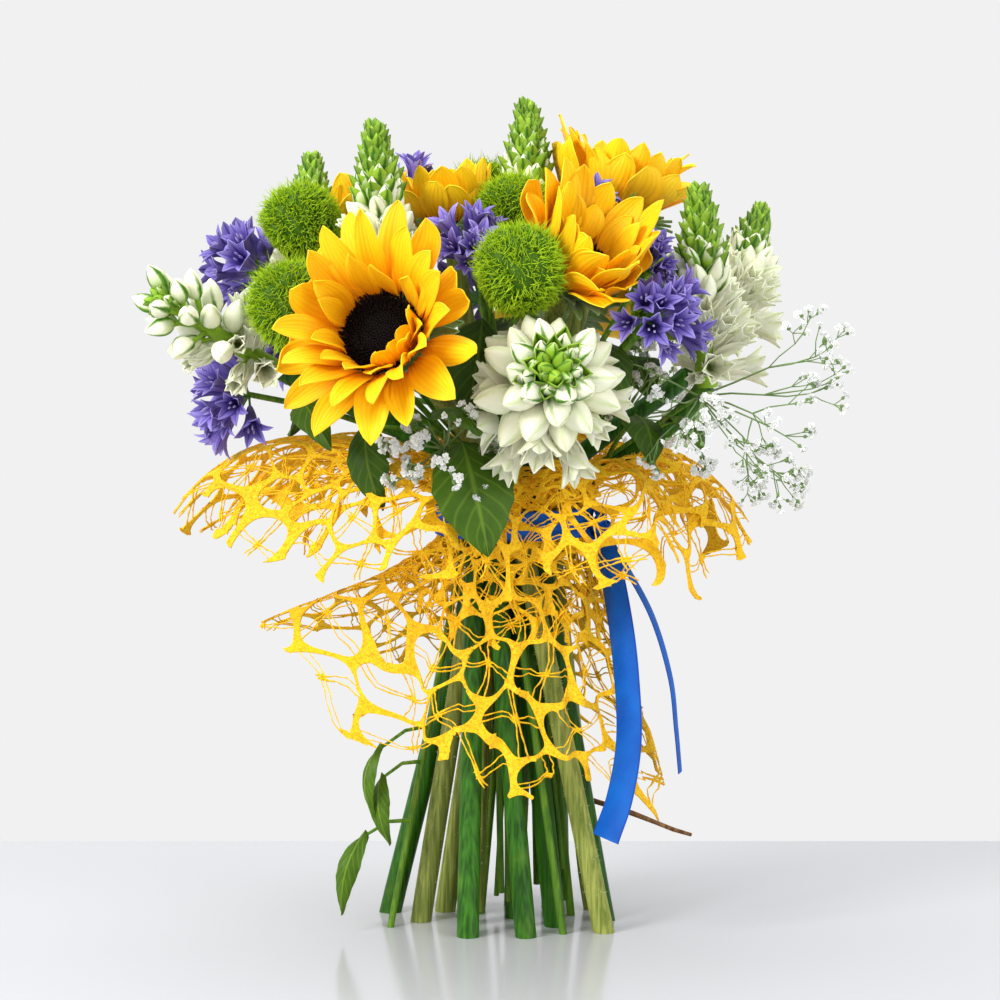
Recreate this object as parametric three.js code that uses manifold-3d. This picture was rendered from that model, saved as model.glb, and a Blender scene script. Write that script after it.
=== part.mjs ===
// A hand-tied bunch of sunflowers that stands on its own cut stems, in millimetres, +Z up.
// Sunflowers, white star-of-Bethlehem spikes, blue brodiaea, green dianthus balls and baby's
// breath are laid in a spiral, bound with twine, wrapped in a yellow net and tied with a blue
// ribbon. The origin is the middle of the central stem's cut end, on the table; -Y is the front.

import * as THREE from "three";
import { mergeVertices } from "three/addons/utils/BufferGeometryUtils.js";
import Module from "manifold-3d";

const wasm = await Module();
wasm.setup();

// ---------------------------------------------------------------------------------------------
// Driving dimensions
// ---------------------------------------------------------------------------------------------

const GAP = 0.32; // clearance kept between neighbouring solids
const TIE_Z = 198; // height at which the stems cross and are bound
const SPIRAL = 0.78; // turn of the stems between the tie and the table, in radians
const SPREAD = 2.55; // foot distance over tie distance from the middle
const HEAD_LEAD = 0.6; // turn of the stems between the tie and the heads, in radians

const SUN_STEM_R = 5.4;
const SPIKE_STEM_R = 5.6;
const BALL_STEM_R = 2.0;
const BLUE_STEM_R = 1.7;
const BREATH_STEM_R = 1.3;

const TWINE_THICK = 1.8;
const NET_THICK = 1.5;
const NET_COLUMNS = 14; // holes round the net
const NET_ROWS = 6; // rows of holes from the top edge to the bottom edge
const RIBBON_WIDTH = 18;
const RIBBON_THICK = 0.9;

// Every bloom: kind, centre of its head, the way it faces, the share of its full size, and, where
// its florets or rays are larger or smaller than that, their own share. Two stems also have a fixed
// place at the tie: one stands upright on the origin, the other has its foot at the front left.
const BLOOMS = [
  { name: "sunflower_1", kind: "sun", at: [-63, -90, 301], faces: [-0.32, -0.86, 0.4], size: 1.02, wide: 1.08 },
  { name: "sunflower_2", kind: "sun", at: [29, -62, 332], faces: [0.4, -0.55, 0.73], size: 0.92, wide: 1.2 },
  { name: "sunflower_3", kind: "sun", at: [47, 16, 359], faces: [0.25, 0.1, 0.96], size: 0.92, wide: 1.2 },
  { name: "sunflower_4", kind: "sun", at: [-32, -2, 352], faces: [-0.1, 0.05, 0.99], size: 0.8, wide: 1.05 },
  { name: "sunflower_5", kind: "sun", at: [-80, 52, 340], faces: [-0.4, 0.4, 0.82], size: 0.8, wide: 1.1 },
  { name: "sunflower_6", kind: "sun", at: [22, 92, 312], faces: [0.1, 0.8, 0.6], size: 0.95, wide: 1.1 },
  { name: "white_spike_1", kind: "spike", at: [16, -96, 281], faces: [0.06, -0.9, 0.43], size: 0.8, wide: 2.1 },
  { name: "white_spike_2", kind: "spike", at: [-149, -52, 301], faces: [-0.72, -0.5, 0.48], size: 0.95, wide: 1.3 },
  { name: "white_spike_3", kind: "spike", at: [-66, -38, 357], faces: [-0.06, -0.1, 0.99], size: 1.1, wide: 0.94 },
  { name: "white_spike_4", kind: "spike", at: [6, 12, 366], faces: [0, 0.02, 1], size: 1.1, wide: 0.94, tie: [0, 0] },
  { name: "white_spike_5", kind: "spike", at: [92, -20, 324], faces: [-0.05, -0.08, 1], size: 1.15, wide: 0.95 },
  { name: "white_spike_6", kind: "spike", at: [116, 40, 326], faces: [0.3, 0.25, 0.9], size: 0.8, wide: 1.15 },
  { name: "white_spike_7", kind: "spike", at: [-103, 44, 348], faces: [0.02, 0.1, 1], size: 0.85, wide: 0.97 },
  { name: "white_spike_8", kind: "spike", at: [-58, 96, 288], faces: [-0.4, 0.8, 0.45], size: 0.8, wide: 1.3 },
  { name: "green_ball_1", kind: "ball", at: [-108, -58, 312], faces: [-0.55, -0.5, 0.67], size: 1.15 },
  { name: "green_ball_2", kind: "ball", at: [-106, -8, 350], faces: [-0.6, -0.1, 0.79], size: 1.05 },
  { name: "green_ball_3", kind: "ball", at: [2, -84, 331], faces: [0, -0.62, 0.78], size: 1.25 },
  { name: "green_ball_4", kind: "ball", at: [0, -24, 355], faces: [0, -0.25, 0.97], size: 1.05 },
  { name: "green_ball_5", kind: "ball", at: [-16, 38, 360], faces: [0, 0.3, 0.95], size: 1.05 },
  { name: "green_ball_6", kind: "ball", at: [78, 82, 308], faces: [0.5, 0.6, 0.62], size: 1.15 },
  { name: "blue_cluster_1", kind: "blue", at: [-140, 0, 341], faces: [-0.7, 0, 0.72], size: 1.15 },
  { name: "blue_cluster_2", kind: "blue", at: [-152, -28, 270], faces: [-0.95, -0.25, 0.15], size: 1.15 },
  { name: "blue_cluster_3", kind: "blue", at: [-54, 22, 376], faces: [-0.1, -0.1, 0.99], size: 1.05 },
  { name: "blue_cluster_4", kind: "blue", at: [-22, -58, 352], faces: [-0.12, -0.45, 0.88], size: 1.1 },
  { name: "blue_cluster_5", kind: "blue", at: [36, -22, 368], faces: [0.15, -0.15, 0.97], size: 0.85 },
  { name: "blue_cluster_6", kind: "blue", at: [76, -78, 318], faces: [0.55, -0.65, 0.52], size: 1.15 },
  { name: "blue_cluster_7", kind: "blue", at: [72, -36, 340], faces: [0.5, -0.4, 0.77], size: 0.75 },
  { name: "blue_cluster_8", kind: "blue", at: [-22, 96, 318], faces: [-0.2, 0.85, 0.5], size: 1.1 },
  { name: "blue_cluster_9", kind: "blue", at: [-118, 64, 296], faces: [-0.75, 0.55, 0.35], size: 1.1, tie: [-24, 10.5] },
  { name: "babys_breath_1", kind: "breath", at: [110, -40, 286], faces: [0.66, -0.36, 0.66], size: 1.15 },
  { name: "babys_breath_2", kind: "breath", at: [-36, -74, 250], faces: [-0.1, -0.85, 0.5], size: 0.5 },
  { name: "babys_breath_3", kind: "breath", at: [66, 92, 258], faces: [0.5, 0.6, 0.62], size: 0.7 },
];

// Radius that a head of each kind fills, and the radius of its stem.
const REACH = { sun: 52, spike: 29, ball: 22, blue: 25, breath: 22 };
const STEM_R = {
  sun: SUN_STEM_R,
  spike: SPIKE_STEM_R,
  ball: BALL_STEM_R,
  blue: BLUE_STEM_R,
  breath: BREATH_STEM_R,
};

// How far below the head's centre its stem ends, along the way the head faces.
const STEM_END = { sun: 15, spike: 46, ball: 16, blue: 18, breath: 26 };

// ---------------------------------------------------------------------------------------------
// Small tools
// ---------------------------------------------------------------------------------------------

const vec = (x, y, z) => new THREE.Vector3(x, y, z);
const lerp = (a, b, t) => a + (b - a) * t;

// A seeded stream of even random numbers, so that every build is the same.
function seeded(seed) {
  let state = seed * 2654435761;
  return () => {
    state = (state + 0x6d2b79f5) | 0;
    let t = Math.imul(state ^ (state >>> 15), 1 | state);
    t = (t + Math.imul(t ^ (t >>> 7), 61 | t)) ^ t;
    return ((t ^ (t >>> 14)) >>> 0) / 4294967296;
  };
}

// A solid from its points and triangles, turned to face out.
function closed(points, faces) {
  let volume = 0;
  for (const [a, b, c] of faces) volume += points[a].dot(points[b].clone().cross(points[c]));
  const facing = volume < 0 ? faces.map(([a, b, c]) => [a, c, b]) : faces;
  const geometry = new THREE.BufferGeometry();
  const flat = points.flatMap((p) => [p.x, p.y, p.z]);
  geometry.setAttribute("position", new THREE.Float32BufferAttribute(flat, 3));
  geometry.setIndex(facing.flat());
  return solidOf(geometry);
}

// A three.js geometry as a solid that can be joined and cut.
function solidOf(geometry) {
  geometry.deleteAttribute("normal");
  geometry.deleteAttribute("uv");
  const merged = mergeVertices(geometry, 1e-4);
  return new wasm.Manifold(
    new wasm.Mesh({
      numProp: 3,
      vertProperties: merged.attributes.position.array,
      triVerts: new Uint32Array(merged.index.array),
    }),
  );
}

// A solid through rings of points; the first and last may be a single point.
function loft(rings) {
  const points = rings.flat();
  const faces = [];
  let start = 0;
  for (let k = 0; k + 1 < rings.length; k++) {
    const [a, b] = [rings[k].length, rings[k + 1].length];
    const [p, q] = [start, start + a];
    for (let i = 0; i < Math.max(a, b); i++) {
      const j = (i + 1) % Math.max(a, b);
      if (a > 1) faces.push([p + i, p + j, q + (b > 1 ? j : 0)]);
      if (b > 1) faces.push([p + (a > 1 ? i : 0), q + j, q + i]);
    }
    start += a;
  }
  const cap = (first, count, flip) => {
    for (let i = 1; i + 1 < count; i++)
      faces.push(flip ? [first, first + i + 1, first + i] : [first, first + i, first + i + 1]);
  };
  if (rings[0].length > 1) cap(0, rings[0].length, true);
  if (rings.at(-1).length > 1) cap(start, rings.at(-1).length, false);
  return closed(points, faces);
}

// Axes across and along a direction.
function axesAlong(direction, roll = 0) {
  const w = direction.clone().normalize();
  const side = Math.abs(w.z) > 0.9 ? vec(0, 1, 0) : vec(0, 0, 1);
  const u = side.clone().cross(w).normalize();
  const v = w.clone().cross(u);
  u.applyAxisAngle(w, roll);
  v.applyAxisAngle(w, roll);
  return { u, v, w };
}

// A ring of points round a centre.
function ring({ u, v }, centre, radius, sides, turn = 0) {
  return Array.from({ length: sides }, (_, i) => {
    const a = turn + (2 * Math.PI * i) / sides;
    return centre.clone().addScaledVector(u, radius * Math.cos(a)).addScaledVector(v, radius * Math.sin(a));
  });
}

// Joins two rings of point numbers, counted the same way round, with a strip of triangles. The
// second ring may be a single point. The strip keeps to the points' order round the way across, but
// the sections of thin blades, left, under, right and over, are joined so that both faces of the
// blade are split alike: to the next section, or to a root of three points below and three above.
function zip(faces, points, a, b) {
  const middle = (numbers) =>
    numbers.reduce((sum, n) => sum.add(points[n]), vec()).divideScalar(numbers.length);
  const [ma, mb] = [middle(a), middle(b)];
  const w = mb.clone().sub(ma).normalize();
  const u = points[a[0]].clone().sub(ma);
  u.addScaledVector(w, -u.dot(w)).normalize();
  const v = w.clone().cross(u);
  const round = (n, m) => {
    const p = points[n].clone().sub(m);
    return Math.atan2(p.dot(v), p.dot(u));
  };
  const near = b.map((n) => Math.abs(round(n, mb)));
  const from = b.length > 1 ? near.indexOf(Math.min(...near)) : 0;
  const aAt = (i) => a[i % a.length];
  const bAt = (j) => b[(from + j) % b.length];
  if (a.length === 4 && b.length === 4) {
    for (let i = 0; i < a.length; i++)
      if (i % 2) faces.push([aAt(i), aAt(i + 1), bAt(i)], [aAt(i + 1), bAt(i + 1), bAt(i)]);
      else faces.push([aAt(i), aAt(i + 1), bAt(i + 1)], [aAt(i), bAt(i + 1), bAt(i)]);
    return;
  }
  if (a.length === 6 && b.length === 4) {
    const [left, under, right, over] = b;
    for (const [p, q, r, side, spine, last] of [
      [a[0], a[1], a[2], left, under, right],
      [a[3], a[4], a[5], right, over, left],
    ])
      faces.push([p, q, spine], [p, spine, side], [q, r, spine], [r, last, spine]);
    faces.push([a[2], a[3], right], [a[5], a[0], left]);
    return;
  }
  const turn = 2 * Math.PI;
  const onward = (angle, k) => (k ? ((angle % turn) + turn) % turn : angle);
  const steps = b.length > 1 ? b.length : 0;
  const aAngle = (i) => (i < a.length ? onward(round(aAt(i), ma), i) : turn);
  const bAngle = (j) => (j < steps ? onward(round(bAt(j), mb), j) : turn + round(bAt(0), mb));
  let [i, j] = [0, 0];
  while (i < a.length || j < steps) {
    const stepA = j >= steps || (i < a.length && aAngle(i) + aAngle(i + 1) <= bAngle(j) + bAngle(j + 1));
    if (stepA) faces.push([aAt(i), aAt(i + 1), bAt(j)]);
    else faces.push([aAt(i), bAt(j + 1), bAt(j)]);
    if (stepA) i++;
    else j++;
  }
}

// Opens one face of a core, given by its point numbers, through rings of points to its end.
function grow(surface, face, rings) {
  let last = face;
  for (const points of rings) {
    const numbers = points.map((p) => surface.points.push(p.clone()) - 1);
    zip(surface.faces, surface.points, last, numbers);
    last = numbers;
  }
  if (last.length > 1) flatCap(surface.faces, last);
}

// The closed solid that opens from one face of a core.
function shapeOver(core, face, rings) {
  const surface = { points: face.map((n) => core.points[n].clone()), faces: [] };
  const base = face.map((_, i) => i);
  flatCap(surface.faces, [base[0], ...base.slice(1).reverse()]);
  grow(surface, base, rings);
  return closed(surface.points, surface.faces);
}

// Whether two solids share more than a touch.
function cross(a, b) {
  const [p, q] = [a.boundingBox(), b.boundingBox()];
  const apart = [0, 1, 2].some((k) => p.max[k] < q.min[k] || q.max[k] < p.min[k]);
  return !apart && a.intersect(b).volume() > 1e-6;
}

// The largest shape that keeps inside the planes and, as far as it can, clear of its neighbours.
const SMALLEST = 0.3;
const MOST_SHRINK = 0.62; // how far a shape gives way to its neighbours before it merges with them
function fit(taken, planes, ringsOf, shapeOf) {
  let shape;
  let first = 0;
  for (let scale = 1; scale > Math.max(SMALLEST, first * MOST_SHRINK); scale *= 0.92) {
    const rings = ringsOf(scale);
    const isInside = rings?.flat().every((p) => planes.every(({ normal, offset }) => normal.dot(p) < offset));
    if (!isInside) continue;
    first = first || scale;
    shape = shapeOf(rings);
    if (!taken.some((other) => cross(shape, other))) break;
  }
  if (shape) taken.push(shape);
}

// Closes a ring of point numbers with a fan.
function flatCap(faces, numbers) {
  for (let i = 1; i + 1 < numbers.length; i++) faces.push([numbers[0], numbers[i], numbers[i + 1]]);
}

// The middle of a face.
function middleOf(surface, face) {
  return face.reduce((sum, n) => sum.add(surface.points[n]), vec()).divideScalar(face.length);
}

// The rings of a round rod through a list of points, each with its own radius.
function rodRings(path, radii, sides) {
  const along = path.map((_, i) =>
    path[Math.min(i + 1, path.length - 1)].clone().sub(path[Math.max(i - 1, 0)]).normalize(),
  );
  let { u } = axesAlong(along[0]);
  return path.map((p, i) => {
    const w = along[i];
    u = u.clone().addScaledVector(w, -u.dot(w)).normalize();
    return ring({ u, v: w.clone().cross(u) }, p, radii[i], sides);
  });
}

const rod = (path, radii, sides) => loft(rodRings(path, radii, sides));

// Slides the points of a ring along a direction to a plane, so that the rod ends flat on it.
function slideTo(points, way, normal, offset) {
  for (const p of points) p.addScaledVector(way, (offset - normal.dot(p)) / normal.dot(way));
}

// A thin leaf or petal: rows of left edge, spine and right edge, and a tip. The edges are sharp.
function blade(rows, tip, thick) {
  const points = [];
  const spines = [...rows.map((r) => r.spine), tip];
  rows.forEach((row, k) => {
    const across = row.right.clone().sub(row.left);
    const along = spines[k + 1].clone().sub(spines[Math.max(k - 1, 0)]);
    const normal = across.cross(along).normalize().multiplyScalar(thick / 2);
    points.push(row.left, row.right, row.spine.clone().add(normal), row.spine.clone().sub(normal));
  });
  points.push(tip);
  const faces = [[0, 2, 3], [1, 3, 2]];
  const last = rows.length - 1;
  for (let k = 0; k < last; k++) {
    const [l, r, t, b] = [4 * k, 4 * k + 1, 4 * k + 2, 4 * k + 3];
    const [l2, r2, t2, b2] = [l + 4, r + 4, t + 4, b + 4];
    faces.push([l, l2, t2], [l, t2, t], [r, t, t2], [r, t2, r2]);
    faces.push([l, b2, l2], [l, b, b2], [r, b2, b], [r, r2, b2]);
  }
  const [l, r, t, b, end] = [4 * last, 4 * last + 1, 4 * last + 2, 4 * last + 3, 4 * last + 4];
  faces.push([l, end, t], [r, t, end], [l, b, end], [r, end, b]);
  return closed(points, faces);
}

const joined = (solids) => wasm.Manifold.union(solids);

// The outer skin of the largest piece of a solid: loose scraps and sealed hollows are dropped.
function largest(solid) {
  const piece = solid.decompose().reduce((a, b) => (b.volume() > a.volume() ? b : a));
  const { vertProperties, triVerts, numProp } = piece.getMesh();
  const leads = Array.from({ length: vertProperties.length / numProp }, (_, i) => i);
  const lead = (i) => {
    while (leads[i] !== i) i = leads[i] = leads[leads[i]];
    return i;
  };
  for (let k = 0; k < triVerts.length; k++) leads[lead(triVerts[k])] = lead(triVerts[k - (k % 3)]);
  const skins = new Map();
  const point = (n) => vec(...vertProperties.subarray(n * numProp, n * numProp + 3));
  for (let k = 0; k < triVerts.length; k += 3) {
    const key = lead(triVerts[k]);
    if (!skins.has(key)) skins.set(key, { volume: 0, triangles: [] });
    const skin = skins.get(key);
    const corners = triVerts.subarray(k, k + 3);
    skin.triangles.push(...corners);
    skin.volume += point(corners[0]).dot(point(corners[1]).cross(point(corners[2])));
  }
  if (skins.size === 1) return piece;
  const best = [...skins.values()].reduce((a, b) => (b.volume > a.volume ? b : a));
  return new wasm.Manifold(new wasm.Mesh({ numProp, vertProperties, triVerts: new Uint32Array(best.triangles) }));
}

// ---------------------------------------------------------------------------------------------
// Room for each head: neighbours share the space between them, and petals bend clear of the
// plane that parts them
// ---------------------------------------------------------------------------------------------

for (const bloom of BLOOMS) {
  bloom.centre = vec(...bloom.at);
  bloom.axis = vec(...bloom.faces).normalize();
  bloom.wide = bloom.size * (bloom.wide || 1);
  bloom.reach = REACH[bloom.kind] * (bloom.kind === "spike" ? (bloom.size + bloom.wide) / 2 : bloom.wide);
  bloom.stemR = STEM_R[bloom.kind];
  bloom.base = bloom.centre.clone().addScaledVector(bloom.axis, -STEM_END[bloom.kind] * bloom.size);
}

// The middle of a head that no parting plane cuts: how far it runs below and above the centre along
// the way the head faces, and its radius.
const CORE = { sun: [-12, 3, 22], spike: [-48, 42, 7.5], ball: [-1, 1, 15], blue: [-23, -14, 4] };

// How far a head's core reaches along a direction.
function coreReach({ kind, centre, axis, size }, direction) {
  const [low, high, r] = CORE[kind];
  const lean = direction.dot(axis);
  return direction.dot(centre) + size * (Math.max(low * lean, high * lean) + r * Math.sqrt(1 - lean * lean));
}

const coreEnds = ({ kind, centre, axis, size }) =>
  CORE[kind].slice(0, 2).map((along) => centre.clone().addScaledVector(axis, along * size));

// The planes that part a head from its neighbours, each with its normal towards the neighbour. They
// share the way between two cores by the heads' sizes. Baby's breath grows through the rest.
function partingPlanes(bloom) {
  return BLOOMS.filter((other) => other !== bloom && other.kind !== "breath").flatMap((other) => {
    const [low, high] = coreEnds(bloom);
    const { s, way } = nearest(low, high, ...coreEnds(other));
    const distance = way.length();
    const both = bloom.reach + other.reach;
    if (distance > both + 12) return [];
    const normal = way.divideScalar(distance);
    const even = normal.dot(low.lerp(high, s)) + (distance * bloom.reach) / both;
    const own = coreReach(bloom, normal);
    const theirs = -coreReach(other, normal.clone().negate());
    const offset = own > theirs ? (own + theirs) / 2 : Math.min(Math.max(even, own), theirs);
    return [{ normal, offset: offset - GAP / 2 }];
  });
}

const SOFT = 9; // depth over which a petal gives way before the plane

// Moves a point back from the planes, so that it bends along them.
function giveWay(planes, point, margin = 0.8) {
  for (const { normal, offset } of planes) {
    const past = normal.dot(point) - offset + margin + SOFT;
    if (past > 0) point.addScaledVector(normal, SOFT * (1 - Math.exp(-past / SOFT)) - past);
  }
  return point;
}

// Cuts off what still passes the planes.
function keepTo(planes, solid) {
  for (const { normal, offset } of planes)
    solid = solid.trimByPlane([-normal.x, -normal.y, -normal.z], -offset);
  return largest(solid);
}

// ---------------------------------------------------------------------------------------------
// Stems: packed at the tie, spread to the table in a spiral, curved up to the heads
// ---------------------------------------------------------------------------------------------

const turned = (x, y, angle) => [
  x * Math.cos(angle) - y * Math.sin(angle),
  x * Math.sin(angle) + y * Math.cos(angle),
];

// Places the stems' centres at the tie, as close together as their thickness lets them.
function packTie() {
  for (const b of BLOOMS) {
    const [x, y] = turned(b.centre.x, b.centre.y, HEAD_LEAD);
    b.fixed = Boolean(b.tie);
    b.tie = b.tie || [x * 0.3, y * 0.3];
  }
  for (let round = 0; round < 600; round++) {
    const pull = round < 500 ? 0.012 : 0;
    for (const b of BLOOMS) if (!b.fixed) b.tie = b.tie.map((c) => c * (1 - pull));
    BLOOMS.forEach((a, i) =>
      BLOOMS.slice(i + 1).forEach((b) => {
        const [dx, dy] = [b.tie[0] - a.tie[0], b.tie[1] - a.tie[1]];
        const distance = Math.hypot(dx, dy) || 1e-6;
        const short = (a.stemR + b.stemR) * 0.97 + GAP - distance;
        if (short <= 0) return;
        const [shareA, shareB] = a.fixed ? [0, 1] : b.fixed ? [1, 0] : [0.5, 0.5];
        a.tie = [a.tie[0] - (dx / distance) * short * shareA, a.tie[1] - (dy / distance) * short * shareA];
        b.tie = [b.tie[0] + (dx / distance) * short * shareB, b.tie[1] + (dy / distance) * short * shareB];
      }),
    );
  }
}

// The path of a stem from its foot, through the tie, to the underside of its head.
const UPPER_STEPS = 4;
function stemPath(bloom) {
  const [x, y] = bloom.tie;
  const [fx, fy] = turned(x * SPREAD, y * SPREAD, SPIRAL);
  const foot = vec(fx, fy, 0);
  const tie = vec(x, y, TIE_Z);
  const rise = tie.clone().sub(foot).normalize();
  const span = bloom.base.distanceTo(tie);
  const curve = new THREE.CubicBezierCurve3(
    tie,
    tie.clone().addScaledVector(rise, span * 0.3),
    bloom.base.clone().addScaledVector(bloom.axis, -span * 0.25),
    bloom.base,
  );
  return [foot, ...curve.getPoints(UPPER_STEPS)];
}

// The shortest way between two straight pieces, and where on each it starts.
function nearest(a, b, c, d) {
  const [u, v, w] = [b.clone().sub(a), d.clone().sub(c), a.clone().sub(c)];
  const [uu, uv, vv, uw, vw] = [u.dot(u), u.dot(v), v.dot(v), u.dot(w), v.dot(w)];
  const det = Math.max(uu * vv - uv * uv, 1e-9);
  let s = Math.min(1, Math.max(0, (uv * vw - vv * uw) / det));
  let t = Math.min(1, Math.max(0, (uv * s + vw) / vv));
  s = Math.min(1, Math.max(0, (uv * t - uw) / uu));
  const way = c.clone().addScaledVector(v, t).sub(a.clone().addScaledVector(u, s));
  return { s, t, way };
}

// Pushes the upper parts of the stems apart until none touches another.
const TIE_POINT = 1; // the path's point at the tie
function partStems() {
  for (let round = 0; round < 160; round++)
    BLOOMS.forEach((a, i) =>
      BLOOMS.slice(i + 1).forEach((b) => {
        for (let m = TIE_POINT; m + 1 < a.path.length; m++)
          for (let n = TIE_POINT; n + 1 < b.path.length; n++) {
            const { s, t, way } = nearest(a.path[m], a.path[m + 1], b.path[n], b.path[n + 1]);
            const distance = way.length() || 1e-6;
            const short = a.stemR + b.stemR + GAP - distance;
            if (short <= 0) continue;
            way.divideScalar(distance);
            const push = (path, k, amount) => {
              if (k > TIE_POINT && k < path.length - 1) path[k].addScaledVector(way, amount);
            };
            push(a.path, m, -short * 0.6 * (1 - s));
            push(a.path, m + 1, -short * 0.6 * s);
            push(b.path, n, short * 0.6 * (1 - t));
            push(b.path, n + 1, short * 0.6 * t);
          }
      }),
    );
}

// Height above the table at which each stem is cut: most stand on it, a few are shorter.
const SHORT_STEMS = {
  white_spike_6: 9,
  sunflower_4: 7,
  green_ball_2: 12,
  blue_cluster_1: 18,
  blue_cluster_3: 10,
  blue_cluster_5: 14,
  babys_breath_2: 26,
  babys_breath_3: 8,
};

function stemRod(bloom, extra = 0) {
  const { path, axis, base, stemR, kind } = bloom;
  const thick = stemR > 4;
  const radii = path.map((_, i) => stemR * (thick && i < 2 ? 1 : lerp(1, 0.86, i / (path.length - 1))) + extra);
  const rings = rodRings(path, radii, thick ? 6 : 4);
  const [foot, head] = [rings[0], rings.at(-1)];
  slideTo(foot, path[1].clone().sub(path[0]), vec(0, 0, 1), SHORT_STEMS[bloom.name] || 0);
  if (kind === "spike") slideTo(head, axis, axis, axis.dot(base) - GAP + extra);
  return loft(rings);
}

// ---------------------------------------------------------------------------------------------
// Sunflower: a dish of green bracts on the stem, a ring of yellow rays, and a dark disc
// ---------------------------------------------------------------------------------------------

const DISC_R = 17.5;
const RAY_RING_R = 22;
const RAY_LENGTH = 37;
const RAY_WIDTH = 19; // on a flower with twelve rays in each layer
const RAY_THICK = 1.1;

// The shape of each sunflower: rays in a layer, and the tilt of a ray at its root and its tip.
const SUN_HABIT = {
  sunflower_1: { rays: 12, inner: [62, 36], outer: [30, 2] },
  sunflower_2: { rays: 9, inner: [68, 42], outer: [42, 12] },
  sunflower_3: { rays: 9, inner: [62, 36], outer: [34, 6] },
  sunflower_4: { rays: 8, inner: [66, 44], outer: [42, 18], shape: "plain" },
  sunflower_5: { rays: 8, inner: [58, 30], outer: [28, 0], shape: "plain" },
  sunflower_6: { rays: 9, inner: [60, 36], outer: [30, 4] },
};

// The steps of a ray's length up to its tip, and its half width there as a share of the full half
// width. The two flowers that stand half hidden have simpler rays.
const RAY_SHAPES = {
  full: { steps: [0.42, 0.78, 1], half: [1, 0.74] },
  plain: { steps: [0.55, 1], half: [1] },
};

// The rings of one ray, which grows from its root between two tilts. Its spine gives way before the
// planes, and its edges droop a little below the spine. A ray that would fold has no rings.
function rayRings({ shape, axes, planes, angle, root, tilt: [rise, fall], long, wide }) {
  const { steps, half } = RAY_SHAPES[shape];
  const out = axes.u.clone().multiplyScalar(Math.cos(angle)).addScaledVector(axes.v, Math.sin(angle));
  const side = axes.w.clone().cross(out);
  const spine = [root.clone()];
  steps.forEach((step, k) => {
    const tilt = THREE.MathUtils.degToRad(lerp(rise, fall, step));
    const along = out.clone().multiplyScalar(Math.cos(tilt)).addScaledVector(axes.w, Math.sin(tilt));
    spine.push(spine[k].clone().addScaledVector(along, (step - (steps[k - 1] || 0)) * long));
  });
  const free = spine[1].clone().sub(root).normalize();
  for (const p of spine.slice(1)) giveWay(planes, p);
  const legs = [free, ...spine.slice(1).map((p, k) => p.clone().sub(spine[k]).normalize())];
  if (legs.slice(1).some((leg, k) => leg.dot(legs[k]) < 0.87)) return null;
  return steps.map((_, k) => {
    const middle = spine[k + 1];
    if (k === half.length) return [middle];
    const along = spine[k + 2].clone().sub(spine[k]).normalize();
    const normal = along.clone().cross(side).normalize();
    const across = normal.clone().cross(along);
    const reach = (half[k] * wide) / 2;
    const edge = (sign) =>
      middle.clone().addScaledVector(across, sign * reach).addScaledVector(normal, -0.2 * reach);
    const face = (sign) => middle.clone().addScaledVector(normal, (sign * RAY_THICK) / 2);
    return [edge(-1), face(-1), edge(1), face(1)];
  });
}

// The rays grow in two layers from the outer wall of a low ring round the disc.
function sunflowerRays(bloom, axes, planes) {
  const random = seeded(bloom.name.charCodeAt(10));
  const { rays, inner, outer, shape = "full" } = SUN_HABIT[bloom.name];
  const count = 2 * rays;
  const levels = [
    [DISC_R + GAP / bloom.size, -2.4],
    [RAY_RING_R, -2.4],
    [RAY_RING_R, -0.4],
    [RAY_RING_R - 1.2, 1.6],
    [DISC_R + GAP / bloom.size, 1.6],
  ];
  const core = { points: [], faces: [] };
  for (const [r, h] of levels) {
    const centre = bloom.centre.clone().addScaledVector(axes.w, h * bloom.size);
    core.points.push(...ring(axes, centre, r * bloom.size, count));
  }
  const at = (level, i) => (level % levels.length) * count + (i % count);
  const wall = (level, i, steps) => {
    const along = Array.from({ length: steps + 1 }, (_, k) => i + k);
    return [...along.map((k) => at(level, k)), ...along.reverse().map((k) => at(level + 1, k))];
  };
  for (const level of [0, 3, 4]) for (let i = 0; i < count; i++) flatCap(core.faces, wall(level, i, 1));
  const taken = [];
  for (let i = 0; i < count; i++) {
    const level = i % 2 ? 1 : 2;
    const face = wall(level, i, 2);
    flatCap(core.faces, face);
    const tilt = (level === 1 ? outer : inner).map((t) => t + 9 * (random() - 0.5));
    const long = RAY_LENGTH * bloom.wide * (1 + 0.2 * (random() - 0.5));
    const wide = ((RAY_WIDTH * 12) / rays) * bloom.wide * (level === 1 ? 1 : 0.84);
    const angle = ((i + 1 + 0.2 * (random() - 0.5)) * 2 * Math.PI) / count;
    const root = middleOf(core, face);
    const behind = bloom.centre.clone().sub(root);
    behind.addScaledVector(axes.w, -behind.dot(axes.w)).normalize();
    fit(
      taken,
      [{ normal: behind, offset: behind.dot(root) - 0.5 }],
      (scale) => rayRings({ shape, axes, planes, angle, root, tilt, long: long * scale, wide: wide * scale }),
      (rings) => shapeOver(core, face, rings),
    );
  }
  return keepTo(planes, joined([closed(core.points, core.faces), ...taken]));
}

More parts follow.
